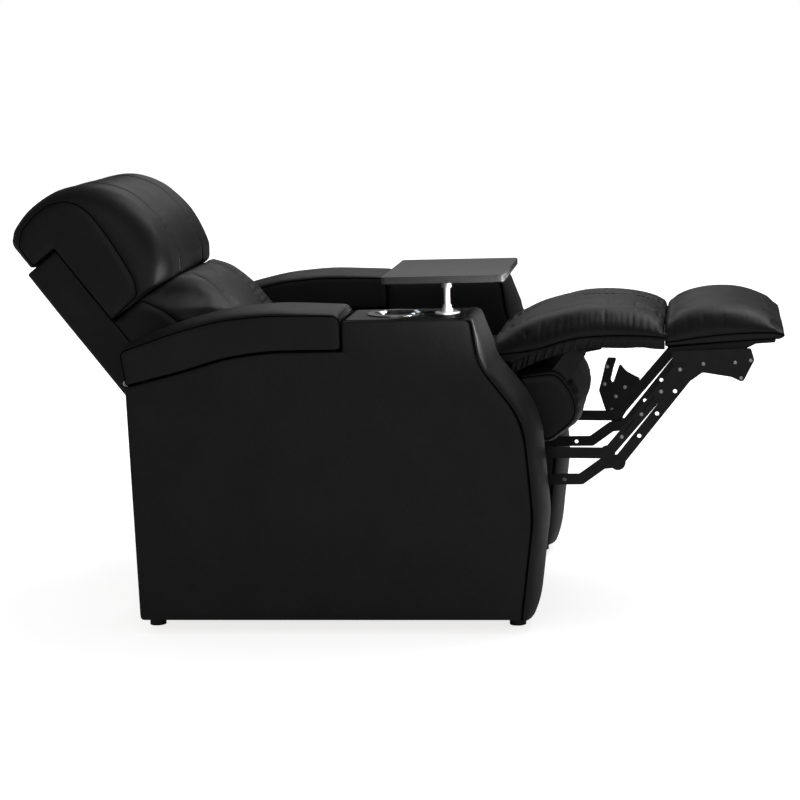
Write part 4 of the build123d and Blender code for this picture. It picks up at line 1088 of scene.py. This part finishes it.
def build_camera():
    """The photograph's camera, as it was fitted."""
    data = bpy.data.cameras.new("camera")
    data.sensor_fit = "HORIZONTAL"
    data.sensor_width = SENSOR
    data.lens = FOCAL_PIXELS * SENSOR / IMAGE_PIXELS
    data.shift_x, data.shift_y = (pixels / IMAGE_PIXELS for pixels in IMAGE_SHIFT)
    camera = bpy.data.objects.new("camera", data)
    bpy.context.scene.collection.objects.link(camera)
    level, drop = math.cos(CAMERA_PITCH), -math.sin(CAMERA_PITCH)
    ahead = Vector((math.cos(CAMERA_YAW) * level, math.sin(CAMERA_YAW) * level, drop))
    right = ahead.cross(Vector((0, 0, 1))).normalized()
    up = right.cross(ahead)
    rolled_right = right * math.cos(CAMERA_ROLL) - up * math.sin(CAMERA_ROLL)
    rolled_up = right * math.sin(CAMERA_ROLL) + up * math.cos(CAMERA_ROLL)
    turn = Matrix((rolled_right, rolled_up, -ahead)).transposed().to_4x4()
    place = Vector((CAMERA_PLACE[0] * MM, CAMERA_PLACE[1] * MM + SHIFT, CAMERA_PLACE[2] * MM))
    camera.matrix_world = Matrix.Translation(place) @ turn
    bpy.context.scene.camera = camera


def area_light(name, place, target, size, power, spread=180.0):
    """A square light that faces its target."""
    data = bpy.data.lights.new(name, "AREA")
    data.spread = math.radians(spread)
    data.shape = "RECTANGLE"
    data.size = data.size_y = size
    data.energy = power
    light = bpy.data.objects.new(name, data)
    bpy.context.scene.collection.objects.link(light)
    light.location = place
    light.rotation_euler = (Vector(target) - Vector(place)).to_track_quat("-Z", "Y").to_euler()


def build_floor():
    """A pale floor that looks white away from the shadow."""
    n = Nodes("floor")
    seen = n.add("ShaderNodeLightPath").outputs["Is Camera Ray"]
    away = n.add("ShaderNodeVectorMath")
    away.operation = "LENGTH"
    n.set(away.inputs[0], n.coordinates)
    glow = n.span(away.outputs["Value"], *FLOOR_GLOW, *FLOOR_FADE)
    n.finish(Base_Color=(0.8, 0.8, 0.8, 1), Roughness=0.9, Specular_IOR_Level=0.0,
             Emission_Color=(1, 1, 1, 1), Emission_Strength=n.span(seen, 0.0, glow))
    corners = [(x * FLOOR_REACH, y * FLOOR_REACH, 0) for x, y in ((-1, -1), (1, -1), (1, 1), (-1, 1))]
    mesh_object("floor", corners, [(0, 1, 2, 3)], n.material, smooth=False)


def build_world():
    """White to the camera, and a dimmer surround for shading and for reflections."""
    world = bpy.data.worlds.new("studio")
    bpy.context.scene.world = world
    world.use_nodes = True
    tree = world.node_tree
    path = tree.nodes.new("ShaderNodeLightPath")
    total = None
    for ray, level in (("Is Camera Ray", 1.0), ("Is Diffuse Ray", SKY_DIFFUSE), ("Is Glossy Ray", SKY_GLOSS)):
        share = tree.nodes.new("ShaderNodeMath")
        share.operation = "MULTIPLY_ADD"
        tree.links.new(path.outputs[ray], share.inputs[0])
        share.inputs[1].default_value = level
        if total is None:
            share.inputs[2].default_value = 0.0
        else:
            tree.links.new(total, share.inputs[2])
        total = share.outputs[0]
    sky = tree.nodes["Background"]
    sky.inputs["Color"].default_value = (1, 1, 1, 1)
    tree.links.new(total, sky.inputs["Strength"])


def build_stage():
    """Floor, surround and lights of the photograph's studio."""
    build_floor()
    build_world()
    for light in LIGHTS:
        area_light(*light)
    post = sum(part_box("tray_post"), Vector()) / 2
    area_light("post", post + POST_LIGHT, post, POST_SIZE, POST_POWER, POST_SPREAD)
    bpy.context.scene.view_settings.view_transform = "Standard"


make_materials()
dress_nodes()
build_headrest()
build_back()
build_seat()
build_chaise()
build_footrest()
build_fittings()
build_arms()
build_camera()
build_stage()
